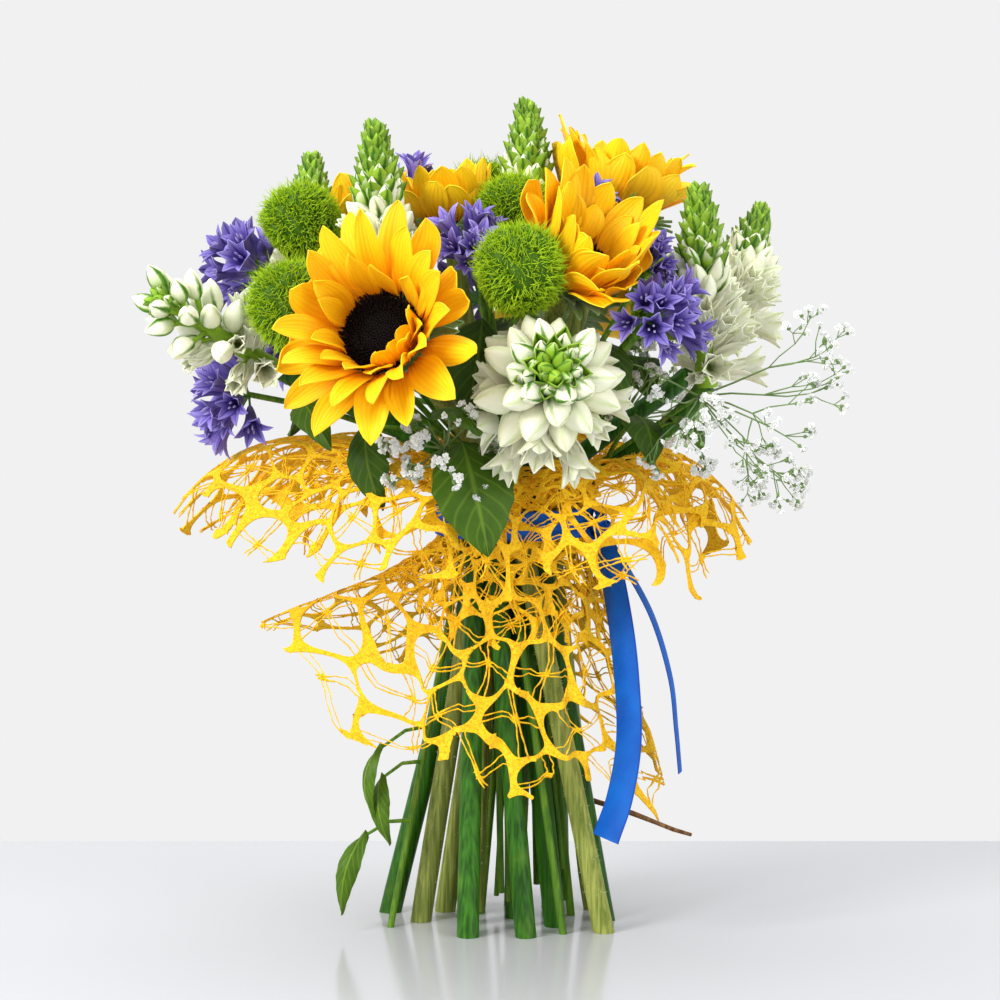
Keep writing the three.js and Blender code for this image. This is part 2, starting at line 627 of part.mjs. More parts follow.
// The disc of florets: a low dome whose surface is raised in a spiral of bumps.
const DISC_STEPS = 4;
function sunflowerDisc(bloom, axes) {
  const sides = bloom.name === "sunflower_1" ? 16 : 8;
  const at = (r, angle, h) =>
    bloom.centre
      .clone()
      .addScaledVector(axes.u, r * Math.cos(angle))
      .addScaledVector(axes.v, r * Math.sin(angle))
      .addScaledVector(axes.w, h * bloom.size);
  const level = (r, h, bump) =>
    Array.from({ length: sides }, (_, i) => {
      const wave = bump * (i % 2 ? 1 : -1);
      return at(r * bloom.size, (2 * Math.PI * i) / sides, h + wave);
    });
  const rings = [level(DISC_R, -2.4, 0), level(DISC_R, 1.6, 0.3)];
  for (let k = 1; k < DISC_STEPS; k++) {
    const t = k / DISC_STEPS;
    rings.push(level(DISC_R * (1 - t), 2.2 + 3.6 * Math.sin(t * Math.PI * 0.6), 0.6 * (k % 2 ? -1 : 1)));
  }
  rings.push([at(0, 0, 3.4)]);
  return loft(rings);
}

// The green dish under the rays, with pointed bracts grown from its slope.
const BRACTS = 11;
function sunflowerBack(bloom, axes, planes) {
  const levels = [
    [5.6, -15.5],
    [14, -10.5],
    [21.5, -6],
    [21.8, -2.4 - GAP / bloom.size],
  ];
  const surface = { points: [], faces: [] };
  for (const [r, h] of levels) {
    const centre = bloom.centre.clone().addScaledVector(axes.w, h * bloom.size);
    surface.points.push(...ring(axes, centre, r * bloom.size, BRACTS));
  }
  const at = (level, i) => level * BRACTS + (i % BRACTS);
  const wall = (level, i) => [at(level, i), at(level, i + 1), at(level + 1, i + 1), at(level + 1, i)];
  const bracts = [];
  for (let i = 0; i < BRACTS; i++) {
    flatCap(surface.faces, wall(0, i));
    flatCap(surface.faces, wall(2, i));
    const face = wall(1, i);
    flatCap(surface.faces, face);
    const tip = middleOf(surface, face);
    const out = tip.clone().sub(bloom.centre);
    out.addScaledVector(axes.w, -out.dot(axes.w)).normalize();
    tip.addScaledVector(out, 15 * bloom.size).addScaledVector(axes.w, (i % 2 ? 4 : 0) * bloom.size);
    bracts.push(shapeOver(surface, face, [[giveWay(planes, tip)]]));
  }
  const numbers = (level) => Array.from({ length: BRACTS }, (_, i) => at(level, i));
  flatCap(surface.faces, numbers(3));
  flatCap(surface.faces, numbers(0).reverse());
  return keepTo(planes, joined([closed(surface.points, surface.faces), ...bracts]));
}

// ---------------------------------------------------------------------------------------------
// Leaves: each grows from a stem on a thin stalk and is one piece with it
// ---------------------------------------------------------------------------------------------

// Each leaf: its stem, the height at which it leaves it, its base and tip, its width, the way its
// upper face looks, and how far it arches.
const LEAVES = [
  { stem: "sunflower_1", z: 236, base: [-26, -70, 248], tip: [-13, -88, 194], wide: 38, face: [0.1, -1, 0.1] },
  { stem: "sunflower_1", z: 240, base: [-72, -58, 257], tip: [-64, -68, 214], wide: 20, face: [-0.5, -1, 0] },
  { stem: "sunflower_1", z: 256, base: [-40, -80, 262], tip: [-16, -98, 254], wide: 18, face: [0.1, -0.6, 0.9] },
  { stem: "sunflower_5", z: 258, base: [-84, 74, 260], tip: [-118, 92, 236], wide: 30, face: [-0.5, 0.5, 0.7] },
  { stem: "sunflower_6", z: 256, base: [32, 92, 266], tip: [46, 112, 226], wide: 32, face: [0.1, 1, 0.1] },
  { stem: "white_spike_5", z: 240, base: [74, -46, 256], tip: [90, -76, 244], wide: 20, face: [0.4, -0.6, 0.6] },
  { stem: "blue_cluster_9", z: 50, base: [-74, -26, 50], tip: [-84, -34, 12], wide: 13, face: [-1, -0.2, 0.2] },
];
const LEAF_THICK = 1.3;
const LEAF_STEPS = [0, 0.28, 0.58, 0.84];
const LEAF_HALF = [0.1, 1, 0.82, 0.4];

// A brown side shoot that sticks out low on the right.
const SHOOT = { stem: "sunflower_2", z: 60, points: [[50, 2, 56], [70, -12, 51], [88, -20, 46]] };

// The point of a stem at a height.
function stemAt(path, z) {
  const k = Math.max(path.findIndex((p) => p.z > z), 1);
  return path[k - 1].clone().lerp(path[k], (z - path[k - 1].z) / (path[k].z - path[k - 1].z));
}

function leaf({ base, tip, wide, face, z }, path) {
  const [start, end, from] = [vec(...base), vec(...tip), stemAt(path, z)];
  const along = end.clone().sub(start);
  const normal = vec(...face).normalize();
  const side = along.clone().cross(normal).normalize();
  const rows = LEAF_STEPS.map((t, k) => {
    const half = (LEAF_HALF[k] * wide) / 2;
    const spine = start.clone().addScaledVector(along, t).addScaledVector(normal, 6 * Math.sin(Math.PI * t));
    const edge = (sign) =>
      spine.clone().addScaledVector(side, sign * half).addScaledVector(normal, -1.2 + sign * (k % 2 ? 1 : -1));
    return { left: edge(-1), right: edge(1), spine };
  });
  const stalk = rod([from, from.clone().lerp(start, 0.5).add(vec(0, 0, 2)), rows[1].spine], [1.5, 1.2, 0.9], 4);
  return [stalk, blade(rows, end, LEAF_THICK)];
}

// ---------------------------------------------------------------------------------------------
// Star-of-Bethlehem spike: open white stars below, plump white buds, and a green tip
// ---------------------------------------------------------------------------------------------

const SPIKE_LOW = -42; // the spike's foot below its centre
const SPIKE_HIGH = 42; // the top of its core above
const SPIKE_SIDES = 5; // florets round the core in each row
const STAR_LIFT = -0.12; // the open flowers droop a little

// The core's radius at each row line, as a share of its height, and what a row bears.
const SPIKE_ROWS = [
  { t: -0.05, r: 5, bears: "nothing" },
  { t: 0, r: 5.8, bears: "star" },
  { t: 0.13, r: 7, bears: "bud" },
  { t: 0.27, r: 7, bears: "bud" },
  { t: 0.42, r: 6.8, bears: "bud" },
  { t: 0.58, r: 6.2, bears: "tip" },
  { t: 0.76, r: 5.4, bears: "point" },
  { t: 0.92, r: 3 },
];

// The edge of an open flower, whose lobes run out to the rim and whose notches lie nearer.
function starEdge(axes, start, long, rim, notch, lobes) {
  return Array.from({ length: 2 * lobes }, (_, i) => {
    const angle = (Math.PI * i) / lobes;
    const [r, far] = i % 2 ? [notch, long * 0.64] : [rim, long];
    const centre = start.clone().addScaledVector(axes.w, far);
    return centre.addScaledVector(axes.u, r * Math.cos(angle)).addScaledVector(axes.v, r * Math.sin(angle));
  });
}

// The rings that open a face into a flower, a plump bud or a slim green tip of a given length.
const FLORETS = {
  star: (axes, start, long, size) => [
    starEdge(axes, start, long, 17 * size, 7.5 * size, 6),
    [start.clone().addScaledVector(axes.w, 0.55 * long)],
  ],
  funnel: (axes, start, long, size) => [
    ring(axes, start.clone().addScaledVector(axes.w, long * 0.4), 1.5 * size, 3),
    starEdge(axes, start, long, 10.5 * size, 4.6 * size, 5),
    [start.clone().addScaledVector(axes.w, 0.56 * long)],
  ],
  bud: (axes, start, long, size) => [
    ring(axes, start.clone().addScaledVector(axes.w, long * 0.56), 6.8 * size, 5),
    [start.clone().addScaledVector(axes.w, long)],
  ],
  tip: (axes, start, long, size) => [
    ring(axes, start.clone().addScaledVector(axes.w, long * 0.4), 4.6 * size, 3),
    [start.clone().addScaledVector(axes.w, long)],
  ],
  point: (axes, start, long) => [[start.clone().addScaledVector(axes.w, long)]],
};
const FLORET_LONG = { star: 23, bud: 22, tip: 15, point: 14 };

// Adds a floret over a face. Its far end gives way before the planes, so that it leans aside whole.
function addFloret(taken, planes, core, face, { form, way, long, size, wide }) {
  const start = middleOf(core, face);
  const [a, b, c] = face.map((n) => core.points[n]);
  const behind = b.clone().sub(a).cross(c.clone().sub(a)).normalize().negate();
  const bounds = [...planes, { normal: behind, offset: behind.dot(start) - 0.4 }];
  const end = giveWay(planes, start.clone().addScaledVector(way, long), 5 * wide);
  const lean = end.sub(start);
  const reach = lean.length();
  const axes = axesAlong(lean, start.x);
  fit(
    taken,
    bounds,
    (scale) => FLORETS[form](axes, start, reach * scale, (form === "tip" ? size : wide) * scale),
    (rings) => shapeOver(core, face, rings),
  );
}

function spikeHead(bloom, axes, planes) {
  const { centre, size, wide } = bloom;
  const height = (SPIKE_HIGH - SPIKE_LOW) * size;
  const onAxis = (t) => centre.clone().addScaledVector(axes.w, SPIKE_LOW * size + t * height);
  const core = { points: [], faces: [] };
  SPIKE_ROWS.forEach(({ t, r }, row) =>
    core.points.push(...ring(axes, onAxis(t), r * size, SPIKE_SIDES, row * 0.5)),
  );
  const at = (row, i) => row * SPIKE_SIDES + (i % SPIKE_SIDES);
  const taken = [];
  SPIKE_ROWS.slice(0, -1).forEach(({ t, bears }, row) => {
    for (let i = 0; i < SPIKE_SIDES; i++) {
      const face = [at(row, i), at(row, i + 1), at(row + 1, i + 1), at(row + 1, i)];
      flatCap(core.faces, face);
      if (bears === "nothing") continue;
      const out = middleOf(core, face).sub(onAxis((t + SPIKE_ROWS[row + 1].t) / 2)).normalize();
      const lift = bears === "star" ? STAR_LIFT : lerp(0.16, 1.24, t);
      const way = out.multiplyScalar(Math.cos(lift)).addScaledVector(axes.w, Math.sin(lift));
      const long = FLORET_LONG[bears] * (t < 0.5 ? wide : size);
      addFloret(taken, planes, core, face, { form: bears, way, long, size, wide });
    }
  });
  const numbers = (row) => Array.from({ length: SPIKE_SIDES }, (_, i) => at(row, i));
  grow(core, numbers(SPIKE_ROWS.length - 1), [[giveWay(planes, onAxis(1.08), 0.2)]]);
  flatCap(core.faces, numbers(0).reverse());
  return keepTo(planes, joined([closed(core.points, core.faces), ...taken]));
}

// ---------------------------------------------------------------------------------------------
// Green dianthus ball: a round head bristling with short needles
// ---------------------------------------------------------------------------------------------

const BALL_CORE_R = 15.5;
const BALL_R = 22;
// The points and faces of a three.js sphere of triangles.
function triangleSphere(radius, detail) {
  const geometry = new THREE.IcosahedronGeometry(radius, detail);
  geometry.deleteAttribute("normal");
  geometry.deleteAttribute("uv");
  const merged = mergeVertices(geometry, 1e-3);
  const { position } = merged.attributes;
  const points = Array.from({ length: position.count }, (_, i) => vec().fromBufferAttribute(position, i));
  const faces = [];
  for (let i = 0; i < merged.index.count; i += 3) faces.push([0, 1, 2].map((k) => merged.index.getX(i + k)));
  return { points, faces };
}

function greenBall(bloom, planes) {
  const random = seeded(7 + bloom.name.charCodeAt(11));
  const core = triangleSphere(BALL_CORE_R * bloom.size, 1);
  const surface = { points: core.points, faces: [] };
  for (const face of core.faces) {
    const tip = middleOf(core, face).normalize();
    tip.multiplyScalar(BALL_R * bloom.size * (1 - 0.14 * random()));
    tip.add(vec(random() - 0.5, random() - 0.5, random() - 0.5).multiplyScalar(3));
    grow(surface, face, [[tip]]);
  }
  for (const p of surface.points) giveWay(planes, p.add(bloom.centre), 0.2);
  return keepTo(planes, closed(surface.points, surface.faces));
}

// ---------------------------------------------------------------------------------------------
// Blue brodiaea: a loose umbel of funnel flowers on short stalks
// ---------------------------------------------------------------------------------------------

const BLUE_HUB_R = 3.4;

// Each face of the small hub that looks up or out bears a flower.
function blueCluster(bloom, axes, planes) {
  const { base, centre, size } = bloom;
  const hub = base.clone().addScaledVector(axes.w, -1);
  const core = triangleSphere(BLUE_HUB_R, 0);
  for (const p of core.points) p.applyAxisAngle(vec(0, 0, 1), centre.x).add(hub);
  const taken = [];
  for (const face of core.faces) {
    const start = middleOf(core, face);
    const way = start.clone().sub(hub).normalize();
    if (way.dot(axes.w) < 0.2) continue;
    const long = (24 + 4 * Math.sin(start.y * 9)) * size;
    addFloret(taken, planes, core, face, { form: "funnel", way, long, size, wide: size });
  }
  return keepTo(planes, joined([closed(core.points, core.faces), ...taken]));
}

// ---------------------------------------------------------------------------------------------
// Baby's breath: a thin branching spray with small white double flowers at its ends
// ---------------------------------------------------------------------------------------------

const TWIG_R = 0.8;
const BREATH_FLOWER_R = 3.2;

// A wiry twig whose point parts into three sprigs, each with a small double flower at its end.
function growTwig(surface, face, way, long, random) {
  const axes = axesAlong(way);
  const fork = middleOf(surface, face).addScaledVector(axes.w, long);
  const neck = ring(axes, fork.clone().addScaledVector(axes.w, -2.5), TWIG_R, 3);
  const numbers = neck.map((p) => surface.points.push(p) - 1);
  const point = surface.points.push(fork) - 1;
  zip(surface.faces, surface.points, face, numbers);
  for (let i = 0; i < 3; i++) {
    const side = [numbers[i], numbers[(i + 1) % 3], point];
    const start = middleOf(surface, side);
    const out = start.clone().sub(fork);
    out.addScaledVector(axes.w, -out.dot(axes.w)).normalize().multiplyScalar(0.4 + 0.8 * random());
    const sprig = axesAlong(out.add(axes.w));
    const reach = 9 + 17 * random();
    const at = (back) => start.clone().addScaledVector(sprig.w, reach - back);
    grow(surface, side, [ring(sprig, at(3.8), 0.6, 3), ring(sprig, at(1.3), BREATH_FLOWER_R, 3), [at(0)]]);
  }
}

// Twigs fan out from a small knot at the end of the stem; one that would cross a bloom is left out.
function breathSpray(bloom, axes, others) {
  const core = triangleSphere(2.2, 0);
  for (const p of core.points) p.applyAxisAngle(vec(0, 0, 1), bloom.centre.x).add(bloom.base);
  const twigs = [];
  core.faces.forEach((face, f) => {
    const random = seeded(31 * f + bloom.name.charCodeAt(13));
    const way = middleOf(core, face).sub(bloom.base).normalize();
    const long = (22 + 46 * random()) * bloom.size ** 0.6;
    way.add(vec(random() - 0.5, random() - 0.5, random() - 0.5).multiplyScalar(0.4)).normalize();
    if (way.dot(axes.w) < 0) return;
    const twig = { points: face.map((n) => core.points[n].clone()), faces: [[2, 1, 0]] };
    growTwig(twig, [0, 1, 2], way, long, random);
    const one = closed(twig.points, twig.faces);
    const isClear = others.every((other) => one.minGap(other, 1) > 0.5);
    if (isClear && !twigs.some((other) => cross(one, other))) twigs.push(one);
  });
  return joined([closed(core.points, core.faces), ...twigs]);
}

// ---------------------------------------------------------------------------------------------
// Yellow net: one soft sheet gathered at the tie, with a flared collar above and a skirt below
// ---------------------------------------------------------------------------------------------

// The net's edges by direction, eight round from +X: [reach, height] of the top edge, how high the
// collar swells before it falls to that edge, and [reach, height] of the bottom edge.
const NET_SHAPE = [
  { top: [114, 204], swell: 228, bottom: [78, 58] },
  { top: [108, 206], swell: 230, bottom: [74, 84] },
  { top: [104, 202], swell: 244, bottom: [74, 98] },
  { top: [122, 200], swell: 250, bottom: [88, 116] },
  { top: [166, 200], swell: 268, bottom: [134, 150] },
  { top: [122, 188], swell: 256, bottom: [78, 88] },
  { top: [66, 172], swell: 240, bottom: [64, 82] },
  { top: [92, 172], swell: 250, bottom: [62, 78] },
];

// A value round the net, smooth between the eight directions.
function roundNet(angle, pick) {
  const n = NET_SHAPE.length;
  const t = ((((angle / (2 * Math.PI)) % 1) + 1) % 1) * n;
  const k = Math.floor(t);
  const s = (1 - Math.cos(Math.PI * (t - k))) / 2;
  return lerp(pick(NET_SHAPE[k % n]), pick(NET_SHAPE[(k + 1) % n]), s);
}

// A point of the net's middle surface: angle round, and v from 1, the top edge, to -1, the bottom.
function netPoint(waistR, angle, v) {
  const t = Math.abs(v);
  const cubic = (a, b, c, d) =>
    a * (1 - t) ** 3 + 3 * b * t * (1 - t) ** 2 + 3 * c * t ** 2 * (1 - t) + d * t ** 3;
  const edge = (k) => roundNet(angle, (s) => (v > 0 ? s.top[k] : s.bottom[k]));
  const [reach, height] = [edge(0), edge(1)];
  const [riseTo, bulge] = v > 0 ? [TIE_Z + 38, roundNet(angle, (s) => s.swell)] : [TIE_Z - 18, lerp(TIE_Z, height, 0.6)];
  const r = cubic(waistR, waistR + 1, lerp(waistR, reach, 0.56), reach);
  const z = cubic(TIE_Z + 4, riseTo, bulge, height);
  const ruffle = Math.sin(angle * (v > 0 ? 7 : 5) + (v > 0 ? 0.6 : 1.9)) * t * t * (v > 0 ? 8 : 5);
  return vec((r + ruffle / 2) * Math.cos(angle), (r + ruffle / 2) * Math.sin(angle), z + ruffle / 2);
}

const HOLE_SHARE = 0.74; // a hole's size against its cell's

function net(waistR) {
  const rows = NET_ROWS;
  const high = rows + 1 / 3;
  const toV = (y) => 1 - (2 * (y + 2 / 3)) / high;
  const place = (x, y) => netPoint(waistR, (2 * Math.PI * x) / NET_COLUMNS, toV(y));
  const normalAt = (x, y) => {
    const across = place(x + 0.05, y).sub(place(x - 0.05, y));
    const along = place(x, y + 0.05).sub(place(x, y - 0.05));
    return across.cross(along).normalize();
  };
  const corners = [[0, -2 / 3], [0.5, -1 / 3], [0.5, 1 / 3], [0, 2 / 3], [-0.5, 1 / 3], [-0.5, -1 / 3]];
  const points = [];
  const known = new Map();
  const walls = new Map();
  const faces = [];
  // A knot of the net has an upper and a lower point, shared by the cells that meet there.
  const knot = (x, y) => {
    const key = `${Math.round(6 * (((x % NET_COLUMNS) + NET_COLUMNS) % NET_COLUMNS))},${Math.round(6 * y)}`;
    if (!known.has(key)) {
      const middle = place(x, y);
      const normal = normalAt(x, y).multiplyScalar(NET_THICK / 2);
      points.push(middle.clone().add(normal), middle.clone().sub(normal));
      known.set(key, points.length - 2);
    }
    return known.get(key);
  };
  for (let row = 0; row < rows; row++)
    for (let column = 0; column < NET_COLUMNS; column++) {
      const [cx, cy] = [column + (row % 2 ? 0.5 : 0), row];
      const outer = corners.map(([x, y]) => knot(cx + x, cy + y));
      const inner = corners.map(([x, y]) => points.push(place(cx + x * HOLE_SHARE, cy + y * HOLE_SHARE)) - 1);
      for (let i = 0; i < 6; i++) {
        const j = (i + 1) % 6;
        const [a, b, c, d] = [outer[i], outer[j], inner[j], inner[i]];
        faces.push([a, b, c], [a, c, d], [b + 1, a + 1, c], [a + 1, d, c]);
        const wall = a < b ? `${a},${b}` : `${b},${a}`;
        walls.set(wall, walls.has(wall) ? null : [a, b]);
      }
    }
  for (const wall of walls.values())
    if (wall) {
      const [a, b] = wall;
      faces.push([a, a + 1, b + 1], [a, b + 1, b]);
    }
  return closed(points, faces);
}

// ---------------------------------------------------------------------------------------------
// Blue ribbon: a band round the gathered net, with two tails that hang on the right
// ---------------------------------------------------------------------------------------------

const ROUND_SIDES = 16;
const BAND_Z = 203;
const KNOT_ANGLE = -0.34; // the knot stands to the right of the front

// A flat strip along a path, with its width along the given directions.
function strip(path, across, wide, thick) {
  return loft(
    path.map((p, i) => {
      const ahead = path[Math.min(i + 1, path.length - 1)];
      const along = ahead.clone().sub(path[Math.max(i - 1, 0)]).normalize();
      const side = across[i].clone().normalize();
      const face = along.clone().cross(side).normalize();
      return [[-1, -1], [1, -1], [1, 1], [-1, 1]].map(([s, f]) =>
        p.clone().addScaledVector(side, (s * wide) / 2).addScaledVector(face, (f * thick) / 2),
      );
    }),
  );
}

function ribbon(bandR) {
  const half = (RIBBON_WIDTH * 0.78) / 2;
  const profile = [
    [bandR, -half],
    [bandR + 1.2, -half],
    [bandR + 1.2, half],
    [bandR, half],
    [bandR, -half],
  ].map(([r, z]) => new THREE.Vector2(r, z));
  const band = solidOf(new THREE.LatheGeometry(profile, ROUND_SIDES).rotateX(Math.PI / 2).translate(0, 0, BAND_Z));
  const knotR = bandR + 4.4;
  const knotAt = vec(knotR * Math.cos(KNOT_ANGLE), knotR * Math.sin(KNOT_ANGLE), BAND_Z);
  const lump = [-7, 0, 7].map((z) => knotAt.clone().add(vec(0, z / 3, z)));
  const tail = [
    [knotAt.x, knotAt.y, BAND_Z],
    [46, -18, 186],
    [51, -30, 158],
    [54, -44, 128],
    [55, -54, 98],
    [51, -60, 72],
    [44, -62, 52],
  ].map((p) => vec(...p));
  const tailSides = tail.map((_, i) => vec(1, lerp(-0.9, 0.1, i / 6), 0));
  const second = [
    [knotAt.x, knotAt.y + 2, BAND_Z],
    [54, -14, 182],
    [68, -18, 156],
    [77, -20, 126],
    [80, -20, 100],
    [82, -18, 78],
  ].map((p) => vec(...p));
  const secondSides = second.map((_, i) => vec(lerp(0.2, 0.05, i / 5), 1, 0));
  return joined([
    band,
    rod(lump, [3, 4, 3], 6),
    strip(tail, tailSides, RIBBON_WIDTH, RIBBON_THICK),
    strip(second, secondSides, RIBBON_WIDTH * 0.7, RIBBON_THICK),
  ]);
}

// The twine that binds the stems under the net.
function twine(inner, outer) {
  const profile = [[inner, -2.5], [outer, -2.5], [outer, 2.5], [inner, 2.5], [inner, -2.5]].map(
    ([r, z]) => new THREE.Vector2(r, z),
  );
  return solidOf(new THREE.LatheGeometry(profile, ROUND_SIDES).rotateX(Math.PI / 2).translate(0, 0, TIE_Z));
}

// ---------------------------------------------------------------------------------------------
// The whole bunch
// ---------------------------------------------------------------------------------------------

const COLOURS = {
  ray: [0xf6a800, 0.55],
  disc: [0x2a1206, 0.85],
  sunStem: [0x6b8c2e, 0.7],
  spikeStem: [0x2f6b1e, 0.45],
  white: [0xf3f4e6, 0.5],
  ball: [0x7fb81e, 0.8],
  blue: [0x5a4fb0, 0.6],
  breath: [0xeef0ea, 0.8],
  net: [0xf0b400, 0.85],
  ribbon: [0x0e5fd0, 0.35],
  twine: [0xb89a62, 0.9],
};
const materials = Object.fromEntries(
  Object.entries(COLOURS).map(([name, [color, roughness]]) => [
    name,
    new THREE.MeshStandardMaterial({ name, color, roughness, metalness: 0 }),
  ]),
);

packTie();
for (const bloom of BLOOMS) bloom.path = stemPath(bloom);
partStems();

// Each finished solid with its name, its material and, for a stem, the cutter that clears it.
const made = [];
const add = (name, solid, material) => made.push({ name, solid, material });
const cutters = BLOOMS.map((bloom) => ({ bloom, solid: stemRod(bloom, GAP + 0.1) }));

// Clears a head of the stems of other blooms.
function clearOfStems(bloom, solid) {
  for (const cutter of cutters)
    if (cutter.bloom !== bloom && cutter.solid.minGap(solid, 1) < 0.05) solid = solid.subtract(cutter.solid);
  return largest(solid);
}

for (const bloom of BLOOMS) {
  const axes = axesAlong(bloom.axis);
  const planes = bloom.kind === "breath" ? [] : partingPlanes(bloom);
  const leaves = LEAVES.filter((l) => l.stem === bloom.name).flatMap((l) => leaf(l, bloom.path));
  if (SHOOT.stem === bloom.name) {
    const path = [stemAt(bloom.path, SHOOT.z), ...SHOOT.points.map((p) => vec(...p))];
    leaves.push(rod(path, [1.5, 1.3, 1.2, 1.1], 4));
  }
  const stem = joined([stemRod(bloom), ...leaves]);
  if (bloom.kind === "sun") {
    add(`${bloom.name}_rays`, clearOfStems(bloom, sunflowerRays(bloom, axes, planes)), "ray");
    add(`${bloom.name}_disc`, sunflowerDisc(bloom, axes), "disc");
    const back = clearOfStems(bloom, sunflowerBack(bloom, axes, planes));
    add(`${bloom.name}_stem`, joined([stem, back]), "sunStem");
  } else if (bloom.kind === "spike") {
    const head = clearOfStems(bloom, spikeHead(bloom, axes, planes));
    add(`${bloom.name}_flowers`, head, "white");
    add(`${bloom.name}_stem`, stem, "spikeStem");
  } else if (bloom.kind === "ball") {
    add(bloom.name, joined([stem, clearOfStems(bloom, greenBall(bloom, planes))]), "ball");
  } else if (bloom.kind === "blue") {
    add(bloom.name, joined([stem, clearOfStems(bloom, blueCluster(bloom, axes, planes))]), "blue");
  }
}

// The binding, the net and the ribbon lie one over another round the stems.
const bundleR = Math.max(...BLOOMS.map((b) => Math.hypot(...b.tie) + b.stemR));
const clearOf = (r) => (r + GAP) / Math.cos(Math.PI / ROUND_SIDES); // a many-sided ring round a circle
const twineR = clearOf(bundleR);
const waistR = twineR + TWINE_THICK + GAP + NET_THICK / 2 + 0.4;
add("binding_twine", twine(twineR, twineR + TWINE_THICK), "twine");
add("yellow_net", net(waistR), "net");
add("blue_ribbon", ribbon(clearOf(waistR + NET_THICK / 2 + 2.4)), "ribbon");

for (const bloom of BLOOMS.filter((b) => b.kind === "breath")) {
  const others = made.map((m) => m.solid);
  const spray = breathSpray(bloom, axesAlong(bloom.axis), others);
  add(bloom.name, joined([stemRod(bloom), spray]), "breath");
}

// A three.js mesh of a finished solid.
function meshOf({ name, solid, material }) {
  const { vertProperties, triVerts, numProp } = solid.getMesh();
  const geometry = new THREE.BufferGeometry();
  const xyz = new Float32Array((vertProperties.length / numProp) * 3);
  for (let i = 0; i < xyz.length / 3; i++) xyz.set(vertProperties.subarray(i * numProp, i * numProp + 3), i * 3);
  geometry.setAttribute("position", new THREE.BufferAttribute(xyz, 3));
  geometry.setIndex(new THREE.BufferAttribute(triVerts, 1));
  geometry.computeVertexNormals();
  const mesh = new THREE.Mesh(geometry, materials[material]);
  mesh.name = name;
  return mesh;
}

const bunch = new THREE.Group();
bunch.name = "bunch_of_sunflowers";
for (const piece of made) bunch.add(meshOf(piece));

export default bunch;
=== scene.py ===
import math

import bpy
import numpy as np
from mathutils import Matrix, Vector


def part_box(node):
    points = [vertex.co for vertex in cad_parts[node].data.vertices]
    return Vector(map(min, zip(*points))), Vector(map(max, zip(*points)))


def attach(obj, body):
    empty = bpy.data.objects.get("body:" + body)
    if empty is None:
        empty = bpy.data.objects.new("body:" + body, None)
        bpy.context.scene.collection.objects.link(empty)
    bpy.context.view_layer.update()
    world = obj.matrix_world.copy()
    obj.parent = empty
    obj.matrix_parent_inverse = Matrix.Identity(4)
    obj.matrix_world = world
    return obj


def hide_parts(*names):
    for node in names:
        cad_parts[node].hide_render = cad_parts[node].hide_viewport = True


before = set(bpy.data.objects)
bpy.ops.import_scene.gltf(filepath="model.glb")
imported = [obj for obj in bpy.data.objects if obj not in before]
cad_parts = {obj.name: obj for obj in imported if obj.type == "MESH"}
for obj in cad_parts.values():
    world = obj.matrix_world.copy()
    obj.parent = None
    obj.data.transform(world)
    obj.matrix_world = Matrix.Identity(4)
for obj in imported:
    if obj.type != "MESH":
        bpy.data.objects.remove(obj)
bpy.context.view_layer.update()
bpy.ops.object.select_all(action="DESELECT")
scene = bpy.context.scene
scene.view_settings.view_transform = "Standard"

# ------------------------------------------------------------
# The studio: a pale, faintly glossy table whose far edge shows behind the stems, and an even
# grey-white wall of light. One broad soft light stands high at the left, a weaker one at the right,
# and a third hangs above and behind the bunch.
# ------------------------------------------------------------

CAMERA_PLACE, CAMERA_PITCH = (-0.0075, -1.98904, 0.42106), math.radians(84)
TABLE_MIDDLE, TABLE_SIZE = (0, -1.397, -0.02), (7, 3.2, 0.04)
# Each light's place, width and power.
LIGHTS = (((-1.5, -1.35, 1.3), 0.8, 44), ((1.5, -1.2, 0.9), 1.4, 16), ((-0.2, 0.5, 2.0), 1.4, 20))
LIT_PLACE = (0, 0, 0.25)

bpy.ops.object.camera_add(location=CAMERA_PLACE, rotation=(CAMERA_PITCH, 0, 0))
camera = bpy.context.object
camera.data.lens = 144
camera.data.sensor_width = 36
scene.camera = camera


# A material's nodes are laid one by one; an input is a number, a colour, or another node's output.
def lay(tree, kind, inputs=None, **settings):
    node = tree.nodes.new("ShaderNode" + kind)
    for key, value in settings.items():
        setattr(node, key, value)
    for key, value in (inputs or {}).items():
        if isinstance(value, bpy.types.NodeSocket):
            tree.links.new(value, node.inputs[key])
        else:
            node.inputs[key].default_value = value
    return node


def finish_of(name, roughness=0.6, **sockets):
    made = bpy.data.materials.new(name)
    made.use_nodes = True
    shader = made.node_tree.nodes["Principled BSDF"]
    shader.inputs["Roughness"].default_value = roughness
    for key, value in sockets.items():
        shader.inputs[key.replace("_", " ")].default_value = value
    return made, made.node_tree, shader


def ramp(tree, value, stops):
    node = lay(tree, "ValToRGB", {"Fac": value})
    elements = node.color_ramp.elements
    while len(elements) < len(stops):
        elements.new(0.5)
    for element, (place, colour) in zip(elements, stops):
        element.position = place
        element.color = (*colour, 1)
    return node.outputs["Color"]


def grey_ramp(tree, value, stops):
    return ramp(tree, value, [(place, (grey, grey, grey)) for place, grey in stops])


def mix(tree, share, first, second, blend="MIX"):
    node = lay(tree, "Mix", data_type="RGBA", blend_type=blend)
    for key, value in ((0, share), (6, first), (7, second)):
        if isinstance(value, bpy.types.NodeSocket):
            tree.links.new(value, node.inputs[key])
        else:
            node.inputs[key].default_value = value if key == 0 else (*value, 1)
    return node.outputs[2]


def reckon(tree, kind, first, second=0.0, third=0.0):
    node = lay(tree, "Math", {0: first, 1: second}, operation=kind)
    if kind == "MULTIPLY_ADD":
        node.inputs[2].default_value = third
    return node.outputs[0]


